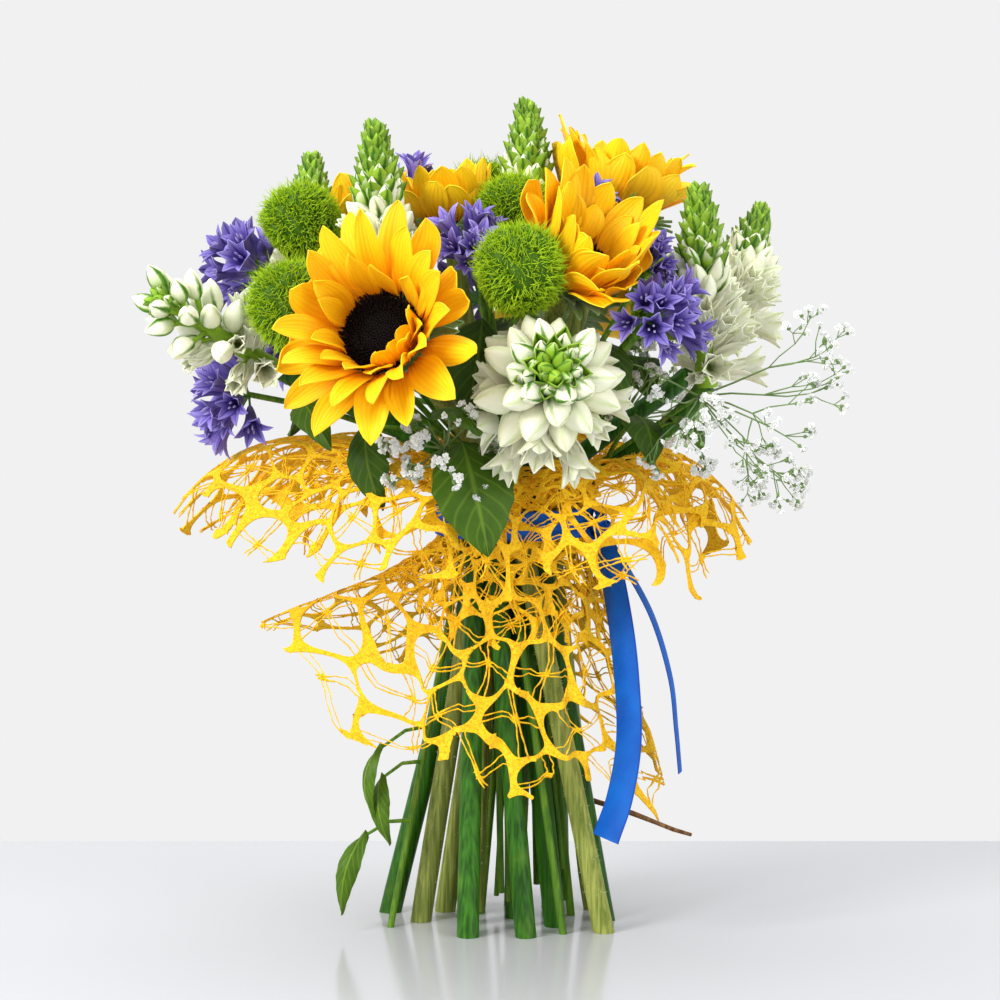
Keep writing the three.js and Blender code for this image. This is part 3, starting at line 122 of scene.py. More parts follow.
def own(tree, mark):
    return lay(tree, "Attribute", attribute_name=mark).outputs["Fac"]


table_finish, tree, shader = finish_of("table_lacquer", 0.16, Specular_IOR_Level=0.35)
place = lay(tree, "TexCoord").outputs["Object"]
cloud = lay(tree, "TexNoise", {"Vector": place, "Scale": 1.0, "Detail": 2.0})
tree.links.new(ramp(tree, cloud.outputs["Fac"], [(0.3, (0.5, 0.505, 0.52)), (0.7, (0.53, 0.535, 0.55))]),
               shader.inputs["Base Color"])
bpy.ops.mesh.primitive_cube_add(size=1, location=TABLE_MIDDLE)
table = bpy.context.object
table.name = "table"
table.scale = TABLE_SIZE
bpy.ops.object.transform_apply(location=True, scale=True)
table.data.materials.append(table_finish)

scene.world = bpy.data.worlds.new("pale_wall")
scene.world.use_nodes = True
tree = scene.world.node_tree
wall, glow = tree.nodes["Background"], lay(tree, "Background", {"Color": (0.95, 0.97, 1, 1), "Strength": 0.85})
wall.inputs["Color"].default_value = (0.88, 0.88, 0.88, 1)
seen = lay(tree, "LightPath").outputs["Is Camera Ray"]
both = lay(tree, "MixShader", {0: seen, 1: glow.outputs[0], 2: wall.outputs[0]})
tree.links.new(both.outputs[0], tree.nodes["World Output"].inputs["Surface"])

for place, size, power in LIGHTS:
    bpy.ops.object.light_add(type="AREA", location=place)
    light = bpy.context.object
    light.data.size = size
    light.data.energy = power
    light.rotation_mode = "QUATERNION"
    light.rotation_quaternion = (Vector(LIT_PLACE) - light.location).to_track_quat("-Z", "Y")

# ------------------------------------------------------------
# Stems: fresh cut stalks that cross at the tie and stand on the table. The sunflowers' are pale,
# ridged and bristly, the spikes' thick, smooth and dark, the rest thin and wiry.
# ------------------------------------------------------------

# Each bloom's kind, the middle of its head in millimetres, the way it faces, its size, and how much
# wider its florets are.
BLOOMS = {
    "sunflower_1": ("sun", (-63, -90, 301), (-0.32, -0.86, 0.4), 1.02, 1.08),
    "sunflower_2": ("sun", (29, -62, 332), (0.4, -0.55, 0.73), 0.92, 1.2),
    "sunflower_3": ("sun", (47, 16, 359), (0.25, 0.1, 0.96), 0.92, 1.2),
    "sunflower_4": ("sun", (-32, -2, 352), (-0.1, 0.05, 0.99), 0.8, 1.05),
    "sunflower_5": ("sun", (-80, 52, 340), (-0.4, 0.4, 0.82), 0.8, 1.1),
    "sunflower_6": ("sun", (22, 92, 312), (0.1, 0.8, 0.6), 0.95, 1.1),
    "white_spike_1": ("spike", (16, -96, 281), (0.06, -0.9, 0.43), 0.8, 2.1),
    "white_spike_2": ("spike", (-149, -52, 301), (-0.72, -0.5, 0.48), 0.95, 1.3),
    "white_spike_3": ("spike", (-66, -38, 357), (-0.06, -0.1, 0.99), 1.1, 0.94),
    "white_spike_4": ("spike", (6, 12, 366), (0, 0.02, 1), 1.1, 0.94),
    "white_spike_5": ("spike", (92, -20, 324), (-0.05, -0.08, 1), 1.15, 0.95),
    "white_spike_6": ("spike", (116, 40, 326), (0.3, 0.25, 0.9), 0.8, 1.15),
    "white_spike_7": ("spike", (-103, 44, 348), (0.02, 0.1, 1), 0.85, 0.97),
    "white_spike_8": ("spike", (-58, 96, 288), (-0.4, 0.8, 0.45), 0.8, 1.3),
    "green_ball_1": ("ball", (-108, -58, 312), (-0.55, -0.5, 0.67), 1.15, 1),
    "green_ball_2": ("ball", (-106, -8, 350), (-0.6, -0.1, 0.79), 1.05, 1),
    "green_ball_3": ("ball", (2, -84, 331), (0, -0.62, 0.78), 1.25, 1),
    "green_ball_4": ("ball", (0, -24, 355), (0, -0.25, 0.97), 1.05, 1),
    "green_ball_5": ("ball", (-16, 38, 360), (0, 0.3, 0.95), 1.05, 1),
    "green_ball_6": ("ball", (78, 82, 308), (0.5, 0.6, 0.62), 1.15, 1),
    "blue_cluster_1": ("blue", (-140, 0, 341), (-0.7, 0, 0.72), 1.15, 1),
    "blue_cluster_2": ("blue", (-152, -28, 270), (-0.95, -0.25, 0.15), 1.15, 1),
    "blue_cluster_3": ("blue", (-54, 22, 376), (-0.1, -0.1, 0.99), 1.05, 1),
    "blue_cluster_4": ("blue", (-22, -58, 352), (-0.12, -0.45, 0.88), 1.1, 1),
    "blue_cluster_5": ("blue", (36, -22, 368), (0.15, -0.15, 0.97), 0.85, 1),
    "blue_cluster_6": ("blue", (76, -78, 318), (0.55, -0.65, 0.52), 1.15, 1),
    "blue_cluster_7": ("blue", (72, -36, 340), (0.5, -0.4, 0.77), 0.75, 1),
    "blue_cluster_8": ("blue", (-22, 96, 318), (-0.2, 0.85, 0.5), 1.1, 1),
    "blue_cluster_9": ("blue", (-118, 64, 296), (-0.75, 0.55, 0.35), 1.1, 1),
    "babys_breath_1": ("breath", (110, -40, 286), (0.66, -0.36, 0.66), 1.15, 1),
    "babys_breath_2": ("breath", (-36, -74, 250), (-0.1, -0.85, 0.5), 0.5, 1),
    "babys_breath_3": ("breath", (66, 92, 258), (0.5, 0.6, 0.62), 0.7, 1),
}
GOLDEN = 2.39996  # the golden angle, by which each floret turns from the one before
TRIANGLE = (0, 2.094, 4.189)
# A stem's radius, and how far below the middle of its head it ends.
STEM_R = {"sun": 5.4, "spike": 5.6, "ball": 2.0, "blue": 1.7, "breath": 1.3}
STEM_END = {"sun": 15, "spike": 46, "ball": 16, "blue": 18, "breath": 26}


def unit(v):
    v = np.asarray(v, float)
    return v / np.linalg.norm(v)


# Two ways across a direction, and the direction.
def axes_along(direction):
    w = unit(direction)
    u = unit(np.cross((0, 1, 0) if abs(w[2]) > 0.9 else (0, 0, 1), w))
    return u, np.cross(w, u), w


class Bloom:
    def __init__(self, name):
        self.name = name
        self.kind, at, faces, self.size, wide = BLOOMS[name]
        self.wide = self.size * wide
        self.centre = np.array(at, float)
        self.u, self.v, self.axis = axes_along(faces)
        self.base = self.centre - self.axis * STEM_END[self.kind] * self.size
        self.stem_r = STEM_R[self.kind]

    def out(self, angle):
        return self.u * math.cos(angle) + self.v * math.sin(angle)

    def at(self, r, angle, height):
        return self.centre + self.out(angle) * r + self.axis * height

    # A way that rises by z along the axis for each unit that it runs.
    def toward(self, angle, z):
        r = math.sqrt(1 - z * z)
        return self.u * math.cos(angle) * r + self.v * math.sin(angle) * r + self.axis * z


blooms = {name: Bloom(name) for name in BLOOMS}


# Each bloom of a kind, with random numbers of its own.
def each(kind, seed):
    for bloom in blooms.values():
        if bloom.kind == kind:
            yield bloom, np.random.default_rng(seed + ord(bloom.name[-1]))


LINE_STEP = 6


# A stem's middle line, followed up through its solid from the cut end to the head.
def line_of(bloom):
    names = (bloom.name, bloom.name + "_stem")
    mesh = next(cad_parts[n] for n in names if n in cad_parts).data
    points = np.array([v.co for v in mesh.vertices]) * 1000
    edges = np.array([e.vertices for e in mesh.edges])
    first, second = points[edges[:, 0]], points[edges[:, 1]]
    low = points[:, 2].min()
    line = [points[points[:, 2] < low + 0.5].mean(0)]
    way = unit((bloom.base - line[0]) * (0.2, 0.2, 1))
    for _ in range(90):
        if np.linalg.norm(bloom.base - line[-1]) < 1.5 * LINE_STEP:
            break
        guess = line[-1] + way * LINE_STEP
        a, b = (first - guess) @ way, (second - guess) @ way
        hit = a * b < 0
        where = first[hit] + (second - first)[hit] * (a[hit] / (a[hit] - b[hit]))[:, None]
        near = where[np.linalg.norm(where - guess, axis=1) < bloom.stem_r * 1.8 + 0.8]
        if len(near) < 3:
            break
        middle = (near.max(0) + near.min(0)) / 2
        way = unit(middle - line[-1])
        line.append(middle)
    line.append(bloom.base)
    line = np.array(line)
    for _ in range(6):
        line[1:-1] = (line[:-2] + 2 * line[1:-1] + line[2:]) / 4
    return line


# A round stalk along a line: rings of points that follow it without a twist.
def stalk(line, radii, sides, swell=None):
    way = np.gradient(line, axis=0)
    way /= np.linalg.norm(way, axis=1)[:, None]
    u = axes_along(way[0])[0]
    angles = np.arange(sides) * 2 * math.pi / sides
    rings = []
    for k, middle in enumerate(line):
        u = unit(u - way[k] * (u @ way[k]))
        v = np.cross(way[k], u)
        r = np.full(sides, radii[k]) * (1 if swell is None else swell(angles, k))
        rings.append(middle + np.outer(np.cos(angles) * r, u) + np.outer(np.sin(angles) * r, v))
    return np.array(rings)


# The faces between rows of points, round a tube or across a strip.
def walls(rows, sides, round_it=True):
    faces = []
    for k in range(rows - 1):
        for i in range(sides if round_it else sides - 1):
            j = (i + 1) % sides
            a, b = k * sides, (k + 1) * sides
            faces.append((a + i, a + j, b + j, b + i))
    return faces


# The points and faces of a tube that is closed at both ends.
def tube(rings):
    rows, sides = rings.shape[:2]
    last = sides * (rows - 1)
    ends = [tuple(range(sides - 1, -1, -1)), tuple(range(last, last + sides))]
    return rings.reshape(-1, 3), walls(rows, sides) + ends


# Lays points in millimetres and their faces as a piece of the bunch.
def piece(name, points, faces, material, slot, stands_for=(), marks=None, thick=0.0, angle=60):
    mesh = bpy.data.meshes.new(name)
    mesh.from_pydata((np.asarray(points) * 0.001).tolist(), [], faces)
    for mark, values in (marks or {}).items():
        attribute = mesh.attributes.new(mark, "FLOAT", "POINT")
        attribute.data.foreach_set("value", np.asarray(values, float).ravel())
    made = bpy.data.objects.new(name, mesh)
    scene.collection.objects.link(made)
    made.data.materials.append(material)
    bpy.ops.object.select_all(action="DESELECT")
    made.select_set(True)
    bpy.context.view_layer.objects.active = made
    if thick:
        bpy.ops.object.modifier_add(type="SOLIDIFY")
        made.modifiers[-1].thickness = thick * 0.001
        made.modifiers[-1].offset = 0
        bpy.ops.object.modifier_apply(modifier=made.modifiers[-1].name)
    bpy.ops.object.shade_smooth_by_angle(angle=math.radians(angle))
    made.select_set(False)
    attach(made, "root")
    if stands_for:
        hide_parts(*stands_for)
    return made


# Shapes of one kind, gathered into one piece.
class Heap:
    def __init__(self):
        self.points, self.faces, self.marks, self.count = [], [], {}, 0

    def put(self, points, faces, **marks):
        self.faces += [tuple(i + self.count for i in f) for f in faces]
        self.points.append(points)
        self.count += len(points)
        for mark, value in marks.items():
            value = np.broadcast_to(np.asarray(value, float), (len(points),))
            self.marks.setdefault(mark, []).append(value)

    def lay(self, name, material, slot, stands_for=(), **settings):
        marks = {m: np.concatenate(v) for m, v in self.marks.items()}
        points = np.vstack(self.points)
        return piece(name, points, self.faces, material, slot, stands_for, marks, **settings)


# What several skins share is a node group, built once: a tinge between a dark and a light stain, a
# fine grain, the ribs along a petal, and relief.
def group_of(name, inputs, output, kind_out="Float"):
    group = bpy.data.node_groups.new(name, "ShaderNodeTree")
    for label, kind in inputs.items():
        group.interface.new_socket(label, in_out="INPUT", socket_type="NodeSocket" + kind)
    group.interface.new_socket(output, in_out="OUTPUT", socket_type="NodeSocket" + kind_out)
    return group, group.nodes.new("NodeGroupInput").outputs, group.nodes.new("NodeGroupOutput").inputs[output]


shades = {"Colour": "Color", "Tone": "Float", "Dark": "Color", "Light": "Color"}
tinge, given, result = group_of("tinge", shades, "Colour", "Color")
stain = mix(tinge, given["Tone"], given["Dark"], given["Light"])
tinge.links.new(mix(tinge, 1.0, given["Colour"], stain, "MULTIPLY"), result)
grain, given, result = group_of("grain", {"Scale": "Float", "Detail": "Float"}, "Share")
place = lay(grain, "TexCoord").outputs["Object"]
noise = lay(grain, "TexNoise", {"Vector": place, "Scale": given["Scale"], "Detail": given["Detail"]})
grain.links.new(noise.outputs["Fac"], result)
ribs, given, result = group_of("ribs", {"Across": "Float", "Count": "Float"}, "Height")
ribs.links.new(reckon(ribs, "SINE", reckon(ribs, "MULTIPLY", given["Across"], given["Count"])), result)
heights = dict.fromkeys(("Height", "Strength", "Distance"), "Float")
relief, given, result = group_of("relief", heights, "Normal", "Vector")
relief.links.new(lay(relief, "Bump", {key: given[key] for key in heights}).outputs[0], result)


def through(tree, group, **inputs):
    return lay(tree, "Group", inputs, node_tree=group).outputs[0]


def tinged(tree, colour, tone, dark, light):
    return through(tree, tinge, Colour=colour, Tone=tone, Dark=(*dark, 1), Light=(*light, 1))


def grained(tree, scale, detail=2.0):
    return through(tree, grain, Scale=scale, Detail=detail)


def ribbed(tree, across, count):
    return through(tree, ribs, Across=across, Count=count)


# Gives a skin its colour and its relief.
def dress(tree, shader, colour, height, strength, distance):
    tree.links.new(colour, shader.inputs["Base Color"])
    normal = through(tree, relief, Height=height, Strength=strength, Distance=distance)
    tree.links.new(normal, shader.inputs["Normal"])


# Streaks and faint spots that run up a stem.
def stem_finish(name, roughness, dark, light, scar, hair=(0.62, 0.68, 0.42)):
    made, tree, shader = finish_of(name, roughness, Specular_IOR_Level=0.2)
    place = lay(tree, "TexCoord").outputs["Object"]
    drawn_out = lay(tree, "Mapping", {"Vector": place, "Scale": (1, 1, 0.045)}).outputs[0]
    streaks = lay(tree, "TexNoise", {"Vector": drawn_out, "Scale": 620.0, "Detail": 3.0}).outputs["Fac"]
    patches = grained(tree, 38.0, 4.0)
    colour = ramp(tree, streaks, [(0.34, dark), (0.66, light)])
    colour = mix(tree, grey_ramp(tree, patches, [(0.58, 0), (0.72, 0.5)]), colour, scar)
    colour = tinged(tree, colour, own(tree, "tone"), (0.62, 0.66, 0.6), (1.25, 1.2, 1.1))
    colour = mix(tree, own(tree, "hair"), colour, hair)
    spots = grained(tree, 900.0)
    pith = ramp(tree, spots, [(0.35, (0.42, 0.5, 0.22)), (0.65, (0.72, 0.74, 0.46))])
    colour = mix(tree, own(tree, "cut"), colour, pith)
    dress(tree, shader, colour, streaks, 0.45, 0.0006)
    return made


STEM_FINISH = {
    "sun": stem_finish("sunflower_stem", 0.62, (0.14, 0.19, 0.03), (0.38, 0.41, 0.1), (0.42, 0.38, 0.15)),
    "spike": stem_finish("spike_stem", 0.36, (0.012, 0.06, 0.003), (0.04, 0.17, 0.008), (0.12, 0.26, 0.025)),
    "thin": stem_finish("thin_stem", 0.5, (0.05, 0.15, 0.008), (0.15, 0.3, 0.022), (0.27, 0.32, 0.06)),
}
STEM_SLOT = {"sun": "sunflower_green", "spike": "spike_green", "ball": "dianthus_green",
             "blue": "brodiaea_blue", "breath": "breath_white"}


HAIRS, HAIR_LONG = 420, 1.5


# Short stiff hairs that stand off a stalk's skin, each a slim three-sided spike.
def bristles(rings, count, long, random, thick=0.16):
    rows, sides = rings.shape[:2]
    points, faces = [], []
    for n in range(count):
        k, i = random.integers(1, rows - 1), random.integers(sides)
        t, s = random.random(), random.random()
        j = (i + 1) % sides
        upper = rings[k, i] * (1 - s) + rings[k, j] * s
        lower = rings[k - 1, i] * (1 - s) + rings[k - 1, j] * s
        foot = upper * (1 - t) + lower * t
        out = unit(foot - rings[k].mean(0) * (1 - t) - rings[k - 1].mean(0) * t)
        out = unit(out + random.normal(0, 0.25, 3))
        u, v, w = axes_along(out)
        for a in TRIANGLE:
            points.append(foot - w * 0.3 + (u * math.cos(a) + v * math.sin(a)) * thick)
        points.append(foot + w * long * random.uniform(0.5, 1))
        m = 4 * n
        faces += [(m, m + 1, m + 3), (m + 1, m + 2, m + 3), (m + 2, m, m + 3), (m + 2, m + 1, m)]
    return np.array(points), faces


lines = {}
for number, bloom in enumerate(blooms.values()):
    random = np.random.default_rng(100 + number)
    line = lines[bloom.name] = line_of(bloom)
    thick = bloom.stem_r > 4
    sides = 18 if thick else 8
    rise = np.linspace(0, 1, len(line))
    radii = bloom.stem_r * (1 - 0.14 * rise) * (0.97 if thick else 1.0)
    turn = random.uniform(0, 6)
    if bloom.kind == "sun":
        ridges = lambda a, k: 1 + 0.035 * np.cos(7 * a + turn) + 0.02 * np.sin(11 * a + 0.05 * k)
    elif bloom.kind == "spike":
        ridges = lambda a, k: 1 + 0.03 * np.cos(2 * a + turn + 0.03 * k)
    else:
        ridges = None
    rings = stalk(line, radii, sides, ridges)
    foot = line[0][2]
    along = unit(line[1] - line[0])
    rings[0] -= np.outer((rings[0][:, 2] - foot - 0.05) / along[2], along)
    inner = rings[0].mean(0) + (rings[0] - rings[0].mean(0)) * 0.84
    core = inner.mean(0)
    core[2] += 0.5 if thick else 0.2
    points = np.vstack([rings.reshape(-1, 3), inner, core])
    faces = walls(len(line), sides)
    top = (len(line) - 1) * sides
    faces.append(tuple(range(top, top + sides)))
    n = len(line) * sides
    for i in range(sides):
        j = (i + 1) % sides
        faces += [(j, i, n + i, n + j), (n + j, n + i, n + sides)]
    parts = [(points, faces, np.arange(len(points)) >= n, 0.0)]
    if bloom.kind == "sun":
        parts.append((*bristles(rings[3:-1], HAIRS, HAIR_LONG, random), 0.0, 1.0))
    heap, tone = Heap(), random.uniform(0.15, 0.85)
    for points, faces, cut, hair in parts:
        heap.put(points, faces, cut=cut, hair=hair, tone=tone)
    finish = STEM_FINISH.get(bloom.kind, STEM_FINISH["thin"])
    heap.lay(bloom.name + "_stalk", finish, STEM_SLOT[bloom.kind], [bloom.name + "_stem"] if thick else [])

# ------------------------------------------------------------
# Sunflower rays: soft golden petals in three layers round the disc, creased along their veins,
# orange at the root, each curled and bent its own way and pushed aside by the neighbouring heads.
# ------------------------------------------------------------

# How far the florets of each kind reach, and its stiff core: where along the axis that starts and
# ends, and its radius.
REACH = {"sun": 52, "spike": 29, "ball": 22, "blue": 25}
CORE = {"sun": (-12, 3, 22), "spike": (-48, 42, 7.5), "ball": (-1, 1, 15), "blue": (-23, -14, 4)}


def shared_reach(bloom):
    share = (bloom.size + bloom.wide) / 2 if bloom.kind == "spike" else bloom.wide
    return REACH[bloom.kind] * share


def core_reach(bloom, way):
    low, high, r = CORE[bloom.kind]
    lean = way @ bloom.axis
    deep = max(low * lean, high * lean) + r * math.sqrt(max(1 - lean * lean, 0))
    return way @ bloom.centre + bloom.size * deep


# The shortest way between two straight pieces, and where on the first it starts.
def nearest(a, b, c, d):
    u, v, w = b - a, d - c, a - c
    uu, uv, vv, uw, vw = u @ u, u @ v, v @ v, u @ w, v @ w
    s = min(1, max(0, (uv * vw - vv * uw) / max(uu * vv - uv * uv, 1e-9)))
    t = min(1, max(0, (uv * s + vw) / vv))
    s = min(1, max(0, (uv * t - uw) / uu))
    return s, c + v * t - a - u * s


# The planes that share the room between a head and its neighbours.
def planes_of(bloom):
    planes = []
    for other in blooms.values():
        if other is bloom or other.kind == "breath":
            continue
        ends = [[b.centre + b.axis * h * b.size for h in CORE[b.kind][:2]] for b in (bloom, other)]
        s, way = nearest(*ends[0], *ends[1])
        distance = np.linalg.norm(way)
        both = shared_reach(bloom) + shared_reach(other)
        if distance > both + 12:
            continue
        normal = way / distance
        even = normal @ (ends[0][0] * (1 - s) + ends[0][1] * s) + distance * shared_reach(bloom) / both
        mine, theirs = core_reach(bloom, normal), -core_reach(other, -normal)
        offset = (mine + theirs) / 2 if mine > theirs else min(max(even, mine), theirs)
        planes.append((normal, offset))
    return planes


# Moves a point back behind the planes, more and more as it nears them.
def give_way(planes, point, margin=0.8, soft=9):
    point = np.array(point, float)
    for normal, offset in planes:
        past = normal @ point - offset + margin + soft
        if past > 0:
            point += normal * (soft * (1 - math.exp(-past / soft)) - past)
    return point


# A flat cloth-like grid, made once for each kind of petal: its places across, from -1 to 1, and
# along, from 0 to 1, with its faces.
def flat_grid(across, along):
    bpy.ops.object.select_all(action="DESELECT")
    bpy.ops.mesh.primitive_grid_add(x_subdivisions=across, y_subdivisions=along, size=2)
    grid = bpy.context.object
    spots = np.array([v.co[:2] for v in grid.data.vertices])
    faces = [tuple(p.vertices) for p in grid.data.polygons]
    bpy.data.objects.remove(grid)
    return spots[:, 0], (spots[:, 1] + 1) / 2, faces


# Carries a flat shape along a curved spine: x and lift in millimetres, t from root to tip.
def carried(x, t, lift, spine, side):
    steps = np.linspace(0, 1, len(spine))
    way = np.gradient(spine, axis=0)
    way /= np.linalg.norm(way, axis=1)[:, None]
    normal = np.cross(way, side)
    normal /= np.linalg.norm(normal, axis=1)[:, None]
    side = np.cross(normal, way)
    pick = lambda rows: np.column_stack([np.interp(t, steps, rows[:, c]) for c in range(3)])
    return pick(spine) + pick(side) * x[:, None] + pick(normal) * lift[:, None]


# Rays in a layer, their length, and the tilt of an inner and of an outer ray at its root and tip.
SUN_HABIT = {
    "sunflower_1": (15, 0.985, (76, 46), (50, 12)),
    "sunflower_2": (14, 0.93, (76, 50), (52, 20)),
    "sunflower_3": (14, 0.84, (76, 54), (56, 28)),
    "sunflower_4": (12, 0.95, (72, 52), (50, 26)),
    "sunflower_5": (12, 0.95, (62, 36), (34, 6)),
    "sunflower_6": (13, 0.95, (64, 40), (36, 8)),
}
RAY_LONG, RAY_WIDE, RAY_RING = 40, 20, 22
CREASE_AT, CREASE_HALF, CREASE_DEEP = 0.36, 0.13, 0.75
# Short rays that fold in over the front sunflower's disc: their turn round it, tilt and length.
FOLDED_IN = ((0.1, (84, 80), 27), (-0.3, (86, 104), 17), (-0.75, (84, 112), 15), (-1.2, (80, 96), 18))

ray_finish, tree, shader = finish_of("sunflower_ray", 0.55, Specular_IOR_Level=0.25, Subsurface_Weight=0.2,
                                     Subsurface_Radius=(1.0, 0.6, 0.1), Subsurface_Scale=0.002)
across, reach, tone = own(tree, "across"), own(tree, "reach"), own(tree, "tone")
drift = grained(tree, 60.0)
vein = reckon(tree, "MULTIPLY_ADD", across, 21.0)
vein = reckon(tree, "ADD", vein, reckon(tree, "MULTIPLY", drift, 3.0))
vein = reckon(tree, "SINE", vein)
vein = reckon(tree, "MULTIPLY_ADD", vein, 0.5, 0.5)
gold = ramp(tree, reach, [(0.0, (0.8, 0.28, 0.002)), (0.22, (0.98, 0.48, 0.002)), (0.6, (1.0, 0.61, 0.004)),
                          (1.0, (1.0, 0.67, 0.008))])
deep = ramp(tree, reach, [(0.0, (0.6, 0.15, 0.002)), (0.3, (0.92, 0.38, 0.002)), (1.0, (0.99, 0.52, 0.003))])
colour = mix(tree, reckon(tree, "MULTIPLY", vein, 0.45), gold, deep)
colour = tinged(tree, colour, tone, (0.92, 0.87, 0.8), (1.04, 1.06, 1.2))
dress(tree, shader, colour, vein, 0.35, 0.0004)

ray_x, ray_t, ray_faces = flat_grid(10, 14)
ray_half = (0.4 + 0.6 * np.sin(np.clip(ray_t / 0.6, 0, 1) * math.pi / 2)) * (1 - ray_t**4) ** 0.75
ray_half = np.maximum(ray_half, 0.03)


# One ray's points, or nothing where it would fold back on itself.
def ray(bloom, planes, root, out, tilt, long, wide, random):
    side = unit(np.cross(bloom.axis, out))
    spine, steps = [root], np.linspace(0, 1, 13)
    curl = random.normal(0, 9)
    for t in steps[1:]:
        angle = math.radians(tilt[0] + (tilt[1] - tilt[0]) * min(1, 0.2 + 0.9 * t) + curl * t**3)
        spine.append(spine[-1] + (out * math.cos(angle) + bloom.axis * math.sin(angle)) * long / 12)
    free = unit(spine[4] - spine[0])
    spine = np.array([root] + [give_way(planes, p) * min(1, 3 * t) + p * max(0, 1 - 3 * t)
                               for p, t in zip(spine[1:], steps[1:])])
    legs = [unit(spine[k + 4] - spine[k]) for k in (0, 4, 8)]
    if free @ legs[0] < 0.8 or legs[0] @ legs[1] < 0.8 or legs[1] @ legs[2] < 0.75:
        return None
    twist = math.radians(random.normal(0, 15))
    sides = np.array([side + np.cross(unit(spine[-1] - root), side) * math.tan(twist * t) for t in steps])
    half = ray_half * wide / 2
    pick = random.uniform
    cup, wave, phase, fold = pick(-0.1, 0.3), pick(0.3, 1.1), pick(0, 6), pick(-0.1, 0.5)
    lift = -cup * half * ray_x**2 * (0.3 + ray_t)
    lift += half * np.abs(ray_x) * (fold * np.sin(math.pi * ray_t) + 0.5 * ray_t**3)
    crease = CREASE_DEEP * np.exp(-(((np.abs(ray_x) - CREASE_AT) / CREASE_HALF) ** 2))
    lift -= crease * np.sin(math.pi * np.minimum(ray_t * 1.15, 1))
    lift += 0.35 * np.cos(ray_x * 16) * (1 - ray_t) + wave * ray_x**2 * np.sin(7 * ray_t + phase + 2 * ray_x)
    return carried(ray_x * half, ray_t, lift, spine, sides)


for bloom, random in each("sun", 0):
    pick = random.uniform
    planes = planes_of(bloom)
    rays, length, inner, outer = SUN_HABIT[bloom.name]
    full, broad = RAY_LONG * length * bloom.wide, RAY_WIDE * 12.5 / rays * bloom.wide
    wanted = []
    for i in range(2 * rays):
        low = i % 2 == 1
        tilt = [angle + pick(-7, 7) for angle in (outer if low else inner)]
        angle = (i + pick(-0.35, 0.35)) * math.pi / rays
        long, wide = full * pick(0.9, 1.12), broad * pick(0.85, 1.1) * (1 if low else 0.9)
        wanted.append((angle, RAY_RING - (0.6 if low else 1.6), -1.4 if low else 0.6, tilt, long, wide))
    for i in range(rays - 3):
        angle = (i + pick(-0.3, 0.3)) * 2 * math.pi / (rays - 3) + 0.4
        wanted.append((angle, RAY_RING - 3, 1.6, (inner[0] + pick(6, 20), inner[1] + pick(0, 36)),
                       full * pick(0.5, 0.85), broad * pick(0.6, 0.85)))
    if bloom.name == "sunflower_1":
        wanted += [(angle, RAY_RING - 3.6, 2.2, tilt, long, 12) for angle, tilt, long in FOLDED_IN]
    heap = Heap()
    for angle, r, height, tilt, long, wide in wanted:
        root = bloom.at(r * bloom.size, angle, height * bloom.size)
        out = bloom.out(angle)
        for k in range(12):
            shape = ray(bloom, planes, root, out, tilt, long * 0.92**k, wide * 0.95**k, random)
            if shape is not None:
                heap.put(shape, ray_faces, across=ray_x, reach=ray_t, tone=random.uniform(0, 1))
                break
    heap.lay(bloom.name + "_petals", ray_finish, "sunflower_ray", [bloom.name + "_rays"], thick=0.55)

# ------------------------------------------------------------
# Sunflower discs: hundreds of dark tubular florets set in the two-way spiral of a seed head. The
# outer ones have opened and stand fluffy and brown, the middle is still shut, flat and almost black.
# ------------------------------------------------------------

DISC_R = 17.5
FIFTH_TURN = 1.2566
# A floret's points are three rings of five and one in the middle of its mouth.
FLORET_FACES = walls(3, 5) + [(10 + a, 10 + (a + 1) % 5, 15) for a in range(5)] + [(4, 3, 2, 1, 0)]

disc_finish, tree, shader = finish_of("sunflower_disc", 0.85, Specular_IOR_Level=0.15)
colour = ramp(tree, own(tree, "reach"), [(0.0, (0.003, 0.0015, 0.001)), (0.6, (0.008, 0.003, 0.002)),
                                         (1.0, (0.03, 0.011, 0.004))])
speck = grained(tree, 700.0)
colour = tinged(tree, colour, own(tree, "tone"), (0.5, 0.45, 0.45), (1.5, 1.4, 1.3))
colour = mix(tree, reckon(tree, "MULTIPLY", speck, 0.3), colour, (0.006, 0.003, 0.002))
dress(tree, shader, colour, speck, 0.4, 0.0003)

